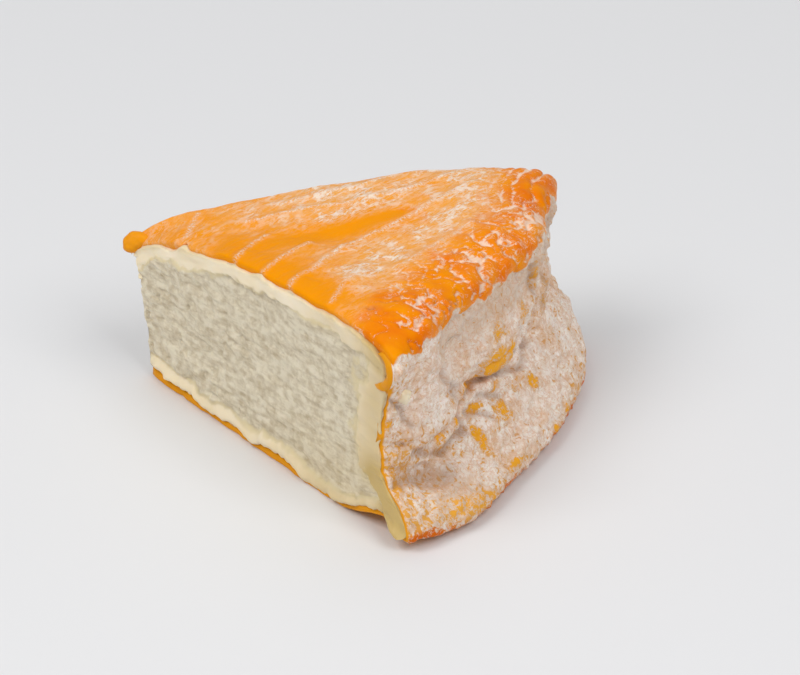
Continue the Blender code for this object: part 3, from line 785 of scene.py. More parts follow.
# The wanted step between rows of the rind's grid, each at its place on the section
RIND_STEPS = (
    (BASE_START, 0.0020), (BASE_EDGE - 2.5, 0.0020), (BASE_EDGE - 0.6, 0.00038),
    (RIM_EDGE - 2.5, 0.00038), (RIM_EDGE, 0.00032), (RIM_EDGE + 2, 0.00040), (TIP_TOP, 0.00043),
)
# Relief of the skin: the spacing or half width of each kind of mark, and how far it stands out
CREASE_SPACING, CREASE_HEIGHT = 0.0026, 0.00016
VEIN_WIDTH, VEIN_HEIGHT = 0.00042, 0.00012
CORD_SPACING, CORD_HEIGHT, INNER_CORD_HEIGHT = 0.0040, 0.00150, 0.00055
WRINKLE_SPACING, WRINKLE_HEIGHT = 0.0042, 0.00060
UPRIGHT_SPACING, UPRIGHT_HEIGHT = 0.0024, 0.00030
GRAIN_SPACING, GRAIN_HEIGHT = 0.0012, 0.00012
PATCH_HEIGHT = 0.00035
RIM_PIT_DEPTH = 0.0012
FOLD_STRENGTH = 1.6
WANDER_SPACING, WANDER = 0.005, 0.0006
RIM_REACH = 0.0080
PLEAT_STRIPE = 0.0034
EAR_WAY = np.array([0.73, -0.44, 0.50])
INNER_STEP = 4
RIND_THICKNESS = 0.0012
EDGE_ROUND = 0.00070


def even_places():
    """Places along the section from the base's thin end to the top's, spaced so that neighbours lie
    a wanted step apart: wide on the flat base and narrow on the wall, the rim and the top."""
    dense = np.linspace(BASE_START, TIP_TOP, 6000)
    distance, height = section_point(dense, np.zeros_like(dense))
    length = np.hypot(np.diff(distance), np.diff(height))
    marks, steps = np.array(RIND_STEPS).T
    step = np.interp(dense[1:], marks, steps)
    count = np.concatenate([[0.0], np.cumsum(length / step)])
    rows = int(round(count[-1] / INNER_STEP)) * INNER_STEP
    return np.interp(np.linspace(0, count[-1], rows + 1), count, dense)


def rind_recess(place, distance, height, side):
    """How far the rind's edge stands back from a cut: a little, torn unevenly, along the wall and
    the base, and nothing along the top, but for the nick near the thin end. The ear stands out."""
    line = np.stack([distance, place * 0.001, place * 0.0], -1)
    top = smooth_step(RIM_EDGE - 1, RIM_EDGE + 1, place)
    ragged = 0.0001 + 0.0004 * lumps(line, 0.0026, 63 + int(side), 2)
    recess = np.clip(ragged * (1 - top), -0.0004, 0.0008)
    if side < 0:
        recess += 0.0015 * bell(distance - 0.0170, 0.0011) * top
        recess -= 0.0006 * ear(distance, height, np.full_like(place, -HALF_ANGLE))
    return recess


def rim_cords(spot, degrees, inwards, top):
    """The rim's cords, 1 on their backs and 0 in the valleys between them: rounded winding lumps,
    and towards the far corner uneven rows that run along the rim."""
    cords = np.abs(lumps(warped(spot, 0.004, 73, 0.0020), CORD_SPACING, 74, 2))
    rounded = np.sqrt(np.clip(1 - (1 - np.clip(cords * 1.7, 0, 1)) ** 2, 0, 1))
    rows = inwards + 0.0018 * lumps(spot, 0.0065, 83, 2)
    stripes = np.sqrt(np.clip(np.abs(np.sin(math.pi * rows / PLEAT_STRIPE)), 0, 1))
    at_far = 0.75 * smooth_step(12, 20, degrees) * smooth_step(0.0150, 0.0090, inwards) * top
    return rounded * (1 - at_far) + at_far * stripes


def wall_folds(degrees, height, wander):
    """How far the wall's sharp folds and soft swells stand out, and how dark the shade painted in
    the folds is.
    """
    round_way = np.radians(degrees) * MEAN_RADIUS + wander[0]
    up = height + wander[1]
    out, recess_shade = np.zeros_like(height), np.zeros_like(height)
    for a0, z0, a1, z1, half_width, depth in SKIN_FOLDS:
        start, end = math.radians(a0) * MEAN_RADIUS, math.radians(a1) * MEAN_RADIUS
        line = stroke(round_way, up, start, z0 * MM, end, z1 * MM, half_width * MM)
        out -= FOLD_STRENGTH * depth * MM * line
        recess_shade = np.maximum(recess_shade, line * min(1.4 * depth, 1.0))
    for angle, at, half_width, half_height, size in WALL_SWELLS:
        aside, above = (degrees - angle) / half_width, (height / MM - at) / half_height
        out += size * MM * np.exp(-(aside**2) - above**2)
    return out, recess_shade


def rubbed_patches(degrees, height, wander):
    """How bare the wall is rubbed: uneven ovals, the strongest of them at each point."""
    patches = np.zeros_like(height)
    for angle, at, half_width, half_height, strength in WALL_PATCHES:
        aside = (degrees - angle) + 700 * wander[0]
        above = (height / MM - at) + 1100 * wander[1]
        spread = (aside / half_width) ** 2 + (above / half_height) ** 2
        patches = np.maximum(patches, strength * np.exp(-spread))
    return patches


def bloom_of_top(x, y, degrees, from_near):
    """How thick the bloom lies on the top, and how bare the smooth band is: more bloom towards the
    back and the rim, less beside the near cut, and the stated spots. Towards the back the paler top
    is partly bloom and partly painted sheen."""
    bare = stroke(x, y, *BARE_BAND)
    near_band = smooth_step(0.014, 0.005, from_near) * smooth_step(0.018, 0.026, x)
    bare = np.maximum(bare, 0.85 * near_band * smooth_step(0.068, 0.058, x))
    # Paler towards the back: partly more bloom, partly painted sheen
    back = smooth_step(-6, 16, degrees) * smooth_step(0.012, 0.030, x)
    outer = smooth_step(0.050, 0.062, x)
    pale = 0.26 + 0.26 * back + 0.32 * outer * (1 - near_band)
    for at_x, at_y, reach, more in TOP_SPOTS:
        pale += more * bell(np.hypot(x - at_x, y - at_y), reach)
    return np.clip(pale * (1 - bare) - 0.06 * bare, 0, 1), bare


# How speckled the wall is, how strongly shade is painted on it under the rim, and how far the
# orange foot is raised in metres: shares, each with the heights in metres and the degrees round
# between which it comes in
SPECKLING = (
    (0.20,),
    (0.45, ("height", 0.030, 0.018), ("degrees", -6, -16)),
    (0.40, ("degrees", -22, -29)),
    (0.30, ("degrees", 4, 12)),
    (0.45, ("height", 0.010, 0.004)),
)
SHADE_UNDER_RIM = ((1.0, ("height", 0.031, 0.040), ("degrees", -23, -17)),)
FOOT_RAISED = ((0.0016, ("degrees", -20, -28)), (0.0011, ("degrees", -18, -8)))
# The spot of shade painted on the flare beside the near cut: degrees round and half width, height
# and half height, and strength
SHADE_ON_FLARE = (-21.5, 6.0, 0.0070, 0.0040, 0.9)
FOOT_TOP, FOOT_FULL = 0.0036, 0.0014
FOOT_WANDER, FOOT_WANDER_SPACING = 0.0013, 0.0030


def tones_of_wall(degrees, height, spot):
    """The wall's tones: specks low down, beside the near cut and towards the far side, painted
    shade under the rim and on the flare beside the near cut, and orange along the foot's edge."""
    measures = {"degrees": degrees, "height": height}
    speckled = np.clip(summed_steps(SPECKLING, measures), 0, 1)
    shade_under_rim = summed_steps(SHADE_UNDER_RIM, measures)
    angle, half_width, at, half_height, strength = SHADE_ON_FLARE
    shade_on_flare = strength * bell(degrees - angle, half_width) * bell(height - at, half_height)
    foot_edge = height - summed_steps(FOOT_RAISED, measures)
    foot_edge = foot_edge + FOOT_WANDER * lumps(spot, FOOT_WANDER_SPACING, 82, 2)
    return speckled, shade_under_rim, shade_on_flare, smooth_step(FOOT_TOP, FOOT_FULL, foot_edge)


def skin_relief(place, degrees, distance, height, spot):
    """Fine relief of the skin, and the masks that its finish needs. The top has fine creases that
    run across the wedge, the rim has winding cords with narrow valleys between them, and the wall
    is wrinkled and sharply folded. spot is the point in metres from the axis."""
    x, y = spot[..., 0], spot[..., 1]
    ragged = 0.55 * lumps(spot, 0.0050, 80, 3) - 0.7 * smooth_step(-27.0, -30.0, degrees)
    top = smooth_step(RIM_EDGE - 0.8, RIM_EDGE + 0.2, place + ragged)
    wall = (1 - top) * smooth_step(BASE_EDGE - 0.4, BASE_EDGE + 0.6, place)
    shoulder = wall_radius(degrees, SHOULDER_HEIGHT)
    from_rim = np.hypot(distance - shoulder, height - top_height(degrees, shoulder))
    from_near = distance * np.sin(np.radians(degrees + HALF_ANGLE))
    inwards = (shoulder - distance) * top
    rim = bell(from_rim, RIM_REACH) * (0.25 + 0.75 * top)
    rim_zone = smooth_step(0.0200, 0.0080, inwards) * top
    wander = [WANDER * lumps(spot, WANDER_SPACING, seed, 2) for seed in (77, 78)]

    across = np.stack([x * 0.91 - y * 0.42, (x * 0.42 + y * 0.91) * 0.35, spot[..., 2]], -1)
    creases = np.abs(lumps(warped(across, 0.005, 71, 0.0012), CREASE_SPACING, 72, 3))
    veins = np.zeros_like(x)
    for *ends, _, _ in TOP_WRINKLES:
        veins = np.maximum(veins, stroke(x + wander[0], y + wander[1], *ends, VEIN_WIDTH))
    pits = np.zeros_like(x)
    for at_x, at_y, reach in RIM_PITS:
        pits = np.maximum(pits, bell(np.hypot(x - at_x, y - at_y), reach))
    cords = rim_cords(spot, degrees, inwards, top)
    relief = CREASE_HEIGHT * np.clip(creases * 2, 0, 1) + VEIN_HEIGHT * veins
    relief = top * relief * (1 - 0.6 * rim_zone) - top * RIM_PIT_DEPTH * pits
    relief += CORD_HEIGHT * rim * cords + INNER_CORD_HEIGHT * rim_zone * (1 - rim) * cords

    bulging, upright = spot * (1, 1, 1.3), spot * (1, 1, 0.45)
    wrinkles = np.abs(lumps(warped(bulging, 0.005, 75, 0.0015), WRINKLE_SPACING, 76, 3))
    ribs = np.abs(lumps(warped(upright, 0.004, 84, 0.0010), UPRIGHT_SPACING, 85, 2))
    fine = WRINKLE_HEIGHT * np.clip(wrinkles * 1.8, 0, 1) ** 0.8
    fine += GRAIN_HEIGHT * lumps(spot, GRAIN_SPACING, 79, 2)
    fine += UPRIGHT_HEIGHT * np.clip(ribs * 1.8, 0, 1)
    folds, recess_shade = wall_folds(degrees, height, wander)
    patches = rubbed_patches(degrees, height, wander)
    relief += wall * ((1 - 0.5 * rim) * fine + folds + PATCH_HEIGHT * np.clip(patches, 0, 1))

    pale, bare = bloom_of_top(x, y, degrees, from_near)
    speckled, shade_under_rim, shade_on_flare, foot = tones_of_wall(degrees, height, spot)
    masks = {
        "on_wall": wall,
        "on_base": 1 - smooth_step(BASE_EDGE - 1.0, BASE_EDGE + 0.2, place),
        "veins": veins * top,
        "pale": pale * top,
        "bare": bare * top,
        "rim_zone": np.maximum(rim_zone, rim),
        "valleys": smooth_step(0.80, 0.42, cords) * np.maximum(rim, rim_zone),
        "patches": patches * wall,
        # Painted shade in the wall's folds and in the rim's pits
        "recess_shade": np.maximum(recess_shade * wall, pits * top),
        "speckled": speckled * wall,
        # Painted shade under the rim and on the flare beside the near cut
        "greyed": np.clip(shade_under_rim * (1 - rim) + shade_on_flare, 0, 1) * wall,
        "foot": foot * wall,
    }
    return relief, masks


def border_loop(index):
    """The point numbers round the border of a grid, in one turn, without repeating the first."""
    return np.concatenate([index[:-1, 0], index[-1, :-1], index[:0:-1, -1], index[0, :0:-1]])


def stitched(fine, coarse, step):
    """Triangles between a fine closed loop and a coarse one with a point for every step points:
    each fine edge goes to the nearer coarse point, and one triangle closes each coarse edge."""
    count = len(fine)
    edge = np.arange(count)
    cell, part_way = edge // step, edge % step
    nearer = (cell + (part_way >= step // 2)) % len(coarse)
    fans = np.stack([fine[edge], fine[(edge + 1) % count], coarse[nearer]], -1)
    each = np.arange(len(coarse))
    middle = fine[each * step + step // 2]
    links = np.stack([middle, coarse[(each + 1) % len(coarse)], coarse[each]], -1)
    return np.concatenate([fans, links])


def build_rind(material):
    """The rind as a closed thin shell over the base, the wall and the top. Its outer side is a fine
    grid, rolled in along the cuts, and its inner side a coarse one that lies inside the paste."""
    places = even_places()
    edge_degrees = np.full_like(places, HALF_ANGLE)
    near_distance, near_height = section_point(places, -edge_degrees)
    far_distance, far_height = section_point(places, edge_degrees)
    near_recess = rind_recess(places, near_distance, near_height, -1.0)
    far_recess = rind_recess(places, far_distance, far_height, 1.0)
    first = -HALF_ANGLE + np.degrees(near_recess / near_distance)
    last = HALF_ANGLE - np.degrees(far_recess / far_distance)
    share = crowded_ends(np.linspace(0, 1, RIND_COLUMNS + 1), 0.025, 0.010)
    degrees = first[:, None] + (last - first)[:, None] * share[None, :]
    shape = degrees.shape
    place = np.repeat(places, shape[1])
    distance, height = section_point(place, degrees.ravel())
    grid = to_space(distance, height, degrees.ravel()).reshape(*shape, 3)
    distance, height, place = (v.reshape(shape) for v in (distance, height, place))
    normals = surface_normals(grid)
    if normals[shape[0] - 30, shape[1] // 2, 2] < 0:
        normals = -normals
    spot = grid - (AXIS_X, AXIS_Y, 0.0)
    relief, masks = skin_relief(place, degrees, distance, height, spot)
    width = np.radians(last - first)[:, None] * distance
    from_edge = np.minimum(share, 1 - share)[None, :] * width
    lobe = ear(distance, height, degrees)
    inside = np.clip(from_edge / (EDGE_ROUND + 0.0007 * lobe), 0, 1)
    topness = smooth_step(RIM_EDGE - 0.8, RIM_EDGE + 0.8, place)
    hang = np.where(share[None, :] < 0.5, overhang(distance, -1.0), overhang(distance, 1.0))
    drop = hang * topness + (0.00045 + 0.0005 * lobe) * (1 - topness)
    rolled_in = drop * (1 - np.sqrt(1 - (1 - inside) ** 2))
    relief = relief * smooth_step(-0.0003, 0.0009, from_edge)
    outer = grid + normals * (relief - rolled_in)[..., None]
    baseness = smooth_step(BASE_EDGE + 1.0, BASE_EDGE - 1.0, place)
    thickness = RIND_THICKNESS * (1 - baseness) + (base_rind(distance) + 0.0004) * baseness
    inner = grid - normals * (thickness + rolled_in + np.maximum(-relief, 0))[..., None]
    inner = inner - (1.2 * EAR_THICKNESS * lobe)[..., None] * EAR_WAY
    inner = inner[::INNER_STEP, ::INNER_STEP]
    outer[..., 2] = np.maximum(outer[..., 2], 0.0)
    masks["cut_edge"] = smooth_step(0.0005, 0.0001, from_edge) * (1 - topness)
    outer_index = np.arange(outer[..., 0].size).reshape(shape)
    inner_index = outer_index.size + np.arange(inner[..., 0].size).reshape(inner.shape[:2])
    quads = np.concatenate([quads_of(outer_index), quads_of(inner_index)[:, ::-1]])
    triangles = stitched(border_loop(outer_index), border_loop(inner_index), INNER_STEP)[:, ::-1]
    points = np.concatenate([outer.reshape(-1, 3), inner.reshape(-1, 3)])
    full_masks = {}
    for name, values in masks.items():
        values = np.broadcast_to(values, shape)
        inner_values = values[::INNER_STEP, ::INNER_STEP]
        full_masks[name] = np.concatenate([values.ravel(), inner_values.ravel()])
    rind = make_piece("rind", points, quads, triangles, full_masks, material)
    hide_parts("cheese_wedge")
    return rind


# The curl, the rim's fold and the crumbs

# The curl's middle line, as distance along the wedge, distance across and height, and its radii
CURL_LINE = (
    (0.0016, 0.0002, 0.0358), (-0.0006, 0.0002, 0.0362), (-0.0024, 0.0002, 0.0356),
    (-0.0033, 0.0002, 0.0342), (-0.0034, 0.0002, 0.0326),
)
CURL_RADII = (0.0012, 0.0018, 0.0022, 0.0022, 0.0018)
# The fold's middle line on the near cut, as distance from the axis and height, and its radii
FOLD_LINE = (
    (0.0873, 0.0470), (0.0894, 0.0475), (0.0914, 0.0468), (0.0925, 0.0450), (0.0921, 0.0424),
    (0.0903, 0.0402), (0.0880, 0.0389), (0.0862, 0.0385),
)
FOLD_RADII = (0.0003, 0.0008, 0.0012, 0.0014, 0.0014, 0.0012, 0.0009, 0.0003)
FOLD_DEPTH = 0.0001
RIND_MASKS = (
    "on_wall", "on_base", "veins", "pale", "bare", "rim_zone", "valleys", "patches", "recess_shade",
    "speckled", "greyed", "foot", "cut_edge",
)
PASTE_MASKS = ("cream", "rim")
ROLL_ROWS, ROLL_COLUMNS = 56, 48
CRUMBS = (
    (0.0797, -0.0416, 0.0352, 0.0018),
    (-0.0008, -0.0004, 0.0270, 0.0008),
    (-0.0003, -0.0006, 0.0235, 0.0006),
    (-0.0018, -0.0008, 0.0325, 0.0006),
)


def capped_faces(rows, columns):
    """The quads of a tube of rows by columns of points, closed round each row, and the triangles
    that close its ends on two more points, the first end's and the last end's."""
    index = np.arange(rows * columns).reshape(rows, columns)
    closed = np.concatenate([index, index[:, :1]], 1)
    first, last = np.full((2, columns), rows * columns) + [[0], [1]]
    start = np.stack([closed[0, :-1], closed[0, 1:], first], -1)
    end = np.stack([closed[-1, 1:], closed[-1, :-1], last], -1)
    return quads_of(closed), np.concatenate([start, end])


def lumpy_balls(centres, radii, seed, lump, roughness, rows, columns):
    """Closed balls on grids of latitude and longitude, each pushed in and out by soft lumps. The
    poles are single points, and the faces are turned to look outwards."""
    latitude = np.linspace(-90, 90, rows + 1)[1:-1]
    longitude = np.linspace(0, 360, columns, endpoint=False)
    up, turn = np.meshgrid(np.radians(latitude), np.radians(longitude), indexing="ij")
    ring = np.stack([np.cos(up) * np.cos(turn), np.cos(up) * np.sin(turn), np.sin(up)], -1)
    unit = np.concatenate([ring.reshape(-1, 3), [(0, 0, -1.0), (0, 0, 1.0)]])
    quads, triangles = capped_faces(*ring.shape[:2])
    quads, triangles = quads[:, ::-1], triangles[:, [1, 0, 2]]
    middles = centres[:, None, :]
    points = middles + unit[None] * radii[:, None, :]
    rough = lumps(points / lump, 1.0, seed, 2)
    points = middles + (points - middles) * (1 + roughness * rough[..., None])
    shift = np.arange(len(centres))[:, None, None] * len(unit)
    return (
        points.reshape(-1, 3),
        (quads[None] + shift).reshape(-1, 4),
        (triangles[None] + shift).reshape(-1, 3),
    )


def roll_along(line, radii, flat, seed):
    """A roll of rind: rings carried along a smooth bent line, each spanned by the given way and the
    cross product of the line's slope with it. They grow and shrink with the radii, close at both
    ends, and are dented by soft lumps. Gives the points, the faces and each point's way out."""
    along = (1 - np.cos(np.linspace(0, math.pi, ROLL_ROWS))) / 2
    turn = np.linspace(0, 2 * math.pi, ROLL_COLUMNS + 1)[:-1]
    stations = np.linspace(0, 1, len(line))
    middle = np.stack([smooth_curve(stations, column, along) for column in np.array(line).T], -1)
    radius = smooth_curve(stations, radii, along) * np.sqrt(np.clip(1 - (2 * along - 1) ** 6, 0, 1))
    slope = np.gradient(middle, axis=0)
    slope /= np.linalg.norm(slope, axis=-1, keepdims=True)
    side = np.broadcast_to(flat, slope.shape)
    up = np.cross(slope, side)
    ring = np.cos(turn)[None, :, None] * side[:, None] + np.sin(turn)[None, :, None] * up[:, None]
    ends = np.concatenate([[-1.0], np.zeros(len(along) - 2), [1.0]])
    middle = middle + slope * (ends * radii[-1] * 0.5)[:, None]
    grid = middle[:, None, :] + ring * radius[:, None, None]
    dents = 0.12 * radius[:, None] * lumps(grid, 0.0018, seed, 2)
    grid = grid + ring * dents[..., None]
    rows = grid[1:-1]
    points = np.concatenate([rows.reshape(-1, 3), grid[:1, 0], grid[-1:, 0]])
    ways = np.concatenate([ring[1:-1].reshape(-1, 3), -slope[:1], slope[-1:]])
    return points, *capped_faces(*rows.shape[:2]), ways


def build_curl(material):
    """The small drop of rind that hangs over the tip."""
    sideways = np.array([0.0, 1.0, 0.0])
    points, quads, triangles, _ = roll_along(CURL_LINE, CURL_RADII, sideways, 81)
    stated = {"pale": 0.05, "bare": 1.0, "cut_edge": 0.6}
    masks = {name: np.full(len(points), stated.get(name, 0.0)) for name in RIND_MASKS}
    points = points + (AXIS_X, AXIS_Y, 0.0)
    return make_piece("tip_curl", points, quads, triangles, masks, material)


def build_fold(material):
    """The fold of the rim's rind that laps round the cream at the near cut's outer corner: bare
    where it is cut, and with bloom on the side that faces outwards."""
    distance, height = np.array(FOLD_LINE).T
    line = to_space(distance, height, np.full_like(distance, -HALF_ANGLE))
    angle = math.radians(-HALF_ANGLE)
    out_of_cut = np.array([math.sin(angle), -math.cos(angle), 0.0])
    outwards = np.array([math.cos(angle), math.sin(angle), 0.0])
    line = line - out_of_cut * FOLD_DEPTH
    points, quads, triangles, ways = roll_along(line, FOLD_RADII, out_of_cut, 86)
    bloomed = smooth_step(0.55, 0.85, ways @ outwards) * smooth_step(0.75, 0.45, ways @ out_of_cut)
    masks = {name: np.zeros(len(points)) for name in RIND_MASKS}
    masks |= {"on_wall": bloomed, "cut_edge": 1 - bloomed}
    return make_piece("rim_fold", points, quads, triangles, masks, material)


def build_crumbs(material):
    """Crumbs of paste stuck to the wall and to the thin end's edge."""
    rows = np.array(CRUMBS)
    centres = rows[:, :3] + (AXIS_X, AXIS_Y, 0.0)
    radii = rows[:, 3:] * np.array([[1.0, 0.8, 0.9]])
    points, quads, triangles = lumpy_balls(centres, radii, 91, 0.0007, 0.35, 16, 22)
    masks = {"cream": np.ones(len(points)), "rim": np.zeros(len(points))}
    return make_piece("crumbs", points, quads, triangles, masks, material)


# Materials

MIX_FACTOR, MIX_UNDER, MIX_OVER, MIX_RESULT = 0, 6, 7, 2
# How much a drawn-out noise is squeezed along its way, and the height of a line's middle in a net
DRAWN = 0.30
LINE_PEAK = 1.2


def add_node(tree, kind, sockets, output=0, **settings):
    """Adds a node with its settings and gives back one of its outputs. A socket's entry is a value,
    or another node's output."""
    node = tree.nodes.new(kind)
    for name, value in settings.items():
        setattr(node, name, value)
    for name, value in sockets.items():
        if isinstance(value, bpy.types.NodeSocket):
            tree.links.new(value, node.inputs[name])
        else:
            node.inputs[name].default_value = value
    return node.outputs[output]


def weighted_sum(tree, start, terms):
    """start plus each output times its weight, kept between 0 and 1 at the end."""
    total = start
    for count, (output, weight) in enumerate(terms, 1):
        sockets = {0: output, 1: weight, 2: total}
        last = count == len(terms)
        total = add_node(tree, "ShaderNodeMath", sockets, operation="MULTIPLY_ADD", use_clamp=last)
    return total


def look_up(tree, known, names):
    """The known output of a name, or the product of several, with spaces between their names."""
    first, *others = names.split()
    total = known[first]
    for name in others:
        total = add_node(tree, "ShaderNodeMath", {0: total, 1: known[name]}, operation="MULTIPLY")
    return total


def add_sums(tree, known, table):
    """Adds weighted sums to the known outputs, by name. Each row gives where the sum starts and the
    weight of each output or product in it."""
    for name, (start, weights) in table.items():
        terms = [(look_up(tree, known, names), weight) for names, weight in weights.items()]
        known[name] = weighted_sum(tree, start, terms)


def coated(tree, known, coats, colours, colour):
    """A colour with coats laid over it in turn, each as its cover's name, the cover's strength and
    the name of its own colour."""
    for names, strength, over in coats:
        cover = weighted_sum(tree, 0.0, [(look_up(tree, known, names), strength)])
        sockets = {MIX_FACTOR: cover, MIX_UNDER: colour, MIX_OVER: colours[over]}
        colour = add_node(tree, "ShaderNodeMix", sockets, MIX_RESULT, data_type="RGBA")
    return colour


def patterns_in_mm(tree, turn, table):
    """Cloudy noises on the object's own millimetres, by name. Each entry gives which way the noise
    is drawn out (none, along the turned direction, or upright), its scale for each millimetre, its
    detail, its roughness and its distortion."""
    spot = add_node(tree, "ShaderNodeTexCoord", {}, 3)
    in_mm = add_node(tree, "ShaderNodeMapping", {"Vector": spot, "Scale": (1 / MM,) * 3})
    turned = add_node(tree, "ShaderNodeMapping", {"Vector": in_mm, "Rotation": (0, 0, turn)})
    ways = {"even": in_mm}
    for way, start, scale in (("drawn", turned, (DRAWN, 1, 1)), ("upright", in_mm, (1, 1, DRAWN))):
        ways[way] = add_node(tree, "ShaderNodeMapping", {"Vector": start, "Scale": scale})
    made = {}
    for name, (way, *settings) in table.items():
        sockets = {"Vector": ways[way]}
        sockets |= dict(zip(("Scale", "Detail", "Roughness", "Distortion"), settings))
        made[name] = add_node(tree, "ShaderNodeTexNoise", sockets)
    return made


def net(tree, noise, width):
    """Fine lines, 1 where the noise is at its middle value and 0 where it is width away from it."""
    off = add_node(tree, "ShaderNodeMath", {0: noise, 1: 0.5}, operation="SUBTRACT")
    off = add_node(tree, "ShaderNodeMath", {0: off}, operation="ABSOLUTE")
    return weighted_sum(tree, LINE_PEAK, [(off, -LINE_PEAK / width)])


def new_finish(name, masks, turn, patterns):
    """A new material, its tree, and by name its outputs: the piece's own point masks and the
    patterns in millimetres."""
    material = bpy.data.materials.new(name)
    material.use_nodes = True
    tree = material.node_tree
    known = patterns_in_mm(tree, turn, patterns)
    for mask in masks:
        known[mask] = add_node(tree, "ShaderNodeAttribute", {}, 2, attribute_name=mask)
    return material, tree, known


def finish_shader(tree, known, colour, bump_distance, constants):
    """Gives the tree's one shader its colour, its constants, and the known roughness and bump."""
    shader = tree.nodes["Principled BSDF"]
    for socket, value in constants.items():
        shader.inputs[socket].default_value = value
    sockets = {"Height": known["height"], "Strength": BUMP_STRENGTH, "Distance": bump_distance}
    bump = add_node(tree, "ShaderNodeBump", sockets)
    tree.links.new(colour, shader.inputs["Base Color"])
    tree.links.new(known["roughness"], shader.inputs["Roughness"])
    tree.links.new(bump, shader.inputs["Normal"])


RIND_TURN = math.radians(-62)
# The patterns of the rind: nets of lines about 0.3 mm and 0.15 mm wide, smears and streaks about
# 1.5 mm wide, specks of about 0.7 mm and 0.3 mm, drips and fibres down the wall, soft flecks of
# about 1 mm, and clouds of about 8 mm and 5 mm
RIND_PATTERNS = {
    "wide_net": ("drawn", 0.40, 4.0, 0.55, 1.2),
    "fine_net": ("drawn", 1.00, 4.0, 0.60, 1.0),
    "round_net": ("even", 0.42, 2.5, 0.50, 1.6),
    "smears": ("even", 0.50, 8.0, 0.70, 0.0),
    "streaks": ("drawn", 0.90, 7.0, 0.70, 0.6),
    "specks": ("even", 0.85, 5.0, 0.62, 0.0),
    "fine_specks": ("even", 2.30, 4.0, 0.65, 0.0),
    "drips": ("upright", 1.10, 5.0, 0.65, 0.0),
    "fibres": ("upright", 1.70, 6.0, 0.65, 0.8),
    "flecks": ("even", 0.72, 2.6, 0.52, 0.5),
    "clouds": ("even", 0.13, 3.0, 0.50, 0.0),
    "spread": ("even", 0.20, 3.0, 0.50, 0.0),
}
# Nets of lines, each as the noise whose middle value they follow and how far from it they fade
RIND_LINES = {
    "wide_lines": ("wide_net", 0.040),
    "fine_lines": ("fine_net", 0.050),
    "round_lines": ("round_net", 0.045),
    "thick_lines": ("round_net", 0.055),
}
# What the bloom is worked out from. On the top it is a net of fine lines with smears and veins, in
# the rim's folds it stays in the valleys, and on the wall it covers all but the rubbed patches, the
# specks and the flecks. The wall's own border is frayed by specks.
RIND_SUMS = {
    "walled": (-2.9, {"on_wall": 4.4, "fine_specks": 1.3, "specks": 1.3}),
    "smeared": (-6.4, {"smears": 12.2}),
    "streaked": (-6.2, {"streaks": 12.0}),
    "spreading": (-2.5, {"spread": 6.2}),
    "broken": (-2.9, {"fine_specks": 6.6}),
    "uneven": (0.35, {"spreading": 0.65}),
    "lined": (0.0, {"wide_lines": 0.50, "fine_lines": 0.45, "smeared": 0.75, "streaked": 0.85}),
    "top_cover": (0.0, {"veins broken": 0.85, "lined uneven pale": 1.35}),
    "rim_cover": (-1.45, {
        "valleys": 1.1, "valleys spreading": 0.6, "round_lines": 0.75, "smeared": 0.60,
        "streaked": 0.55, "pale": 1.30,
    }),
    "off_rim": (1.0, {"rim_zone": -1.0}),
    "skin_cover": (0.0, {"top_cover off_rim": 1.0, "rim_cover rim_zone": 0.80}),
    "rubbed_off": (-6.0, {
        "patches": 3.4, "specks": 6.0, "fine_specks": 3.4, "foot": 3.0, "round_lines": -0.9,
        "smeared": -0.7,
    }),
    "specked": (-9.7, {
        "specks": 6.0, "drips": 3.0, "fine_specks": 4.2, "clouds": 3.0, "speckled": 1.7,
        "patches": 1.0,
    }),
    "flecked": (-6.40, {"flecks": 9.0, "clouds": 1.6, "speckled": 1.2}),
    "off_edges": (1.0, {"cut_edge": -1.0, "on_base": -0.7}),
    "off_wall": (1.0, {"walled": -1.0}),
}
# The bloom itself, the tints of the skin and of the bloom, and the roughness and bump
RIND_TINTS = {
    "bloom_left": (1.0, {"bare_wall": -1.0}),
    "top_bloom": (0.0, {"skin_cover off_wall off_edges": 1.0}),
    "wall_bloom": (0.0, {"bloom_left walled off_edges": 1.0}),
    "bloom": (0.0, {"top_bloom": 1.0, "wall_bloom": 1.0}),
    # A pale film over the orange, partly painted sheen, more towards the back
    "haze_and_sheen": (-0.85, {"clouds": 1.7, "pale": 0.9, "bare": -0.7, "rim_zone": -0.35}),
    "deep": (-1.65, {"rim_zone": 0.9, "clouds": 2.8, "bare": -0.3}),
    "rubbed": (-0.5, {"patches": 2.0}),
    "warm": (-0.9, {"speckled": 1.2, "spread": 1.3}),
    "mottle": (-1.7, {"smears": 3.8}),
    "pink": (-2.3, {"clouds": 5.5}),
    "light": (-2.2, {"smears": 5.0}),
    "peach": (-2.35, {"smears": -1.6, "clouds": 5.2, "speckled": 0.9, "patches": 2.0}),
    "furry": (-3.2, {"fibres": 6.2}),
    "threads": (-0.7, {"thick_lines": 1.0, "smears": 1.1}),
    "height": (0.0, {"bloom": 0.45, "specks": 0.35, "fine_specks": 0.2}),
    "roughness": (0.30, {"bloom": 0.45}),
}
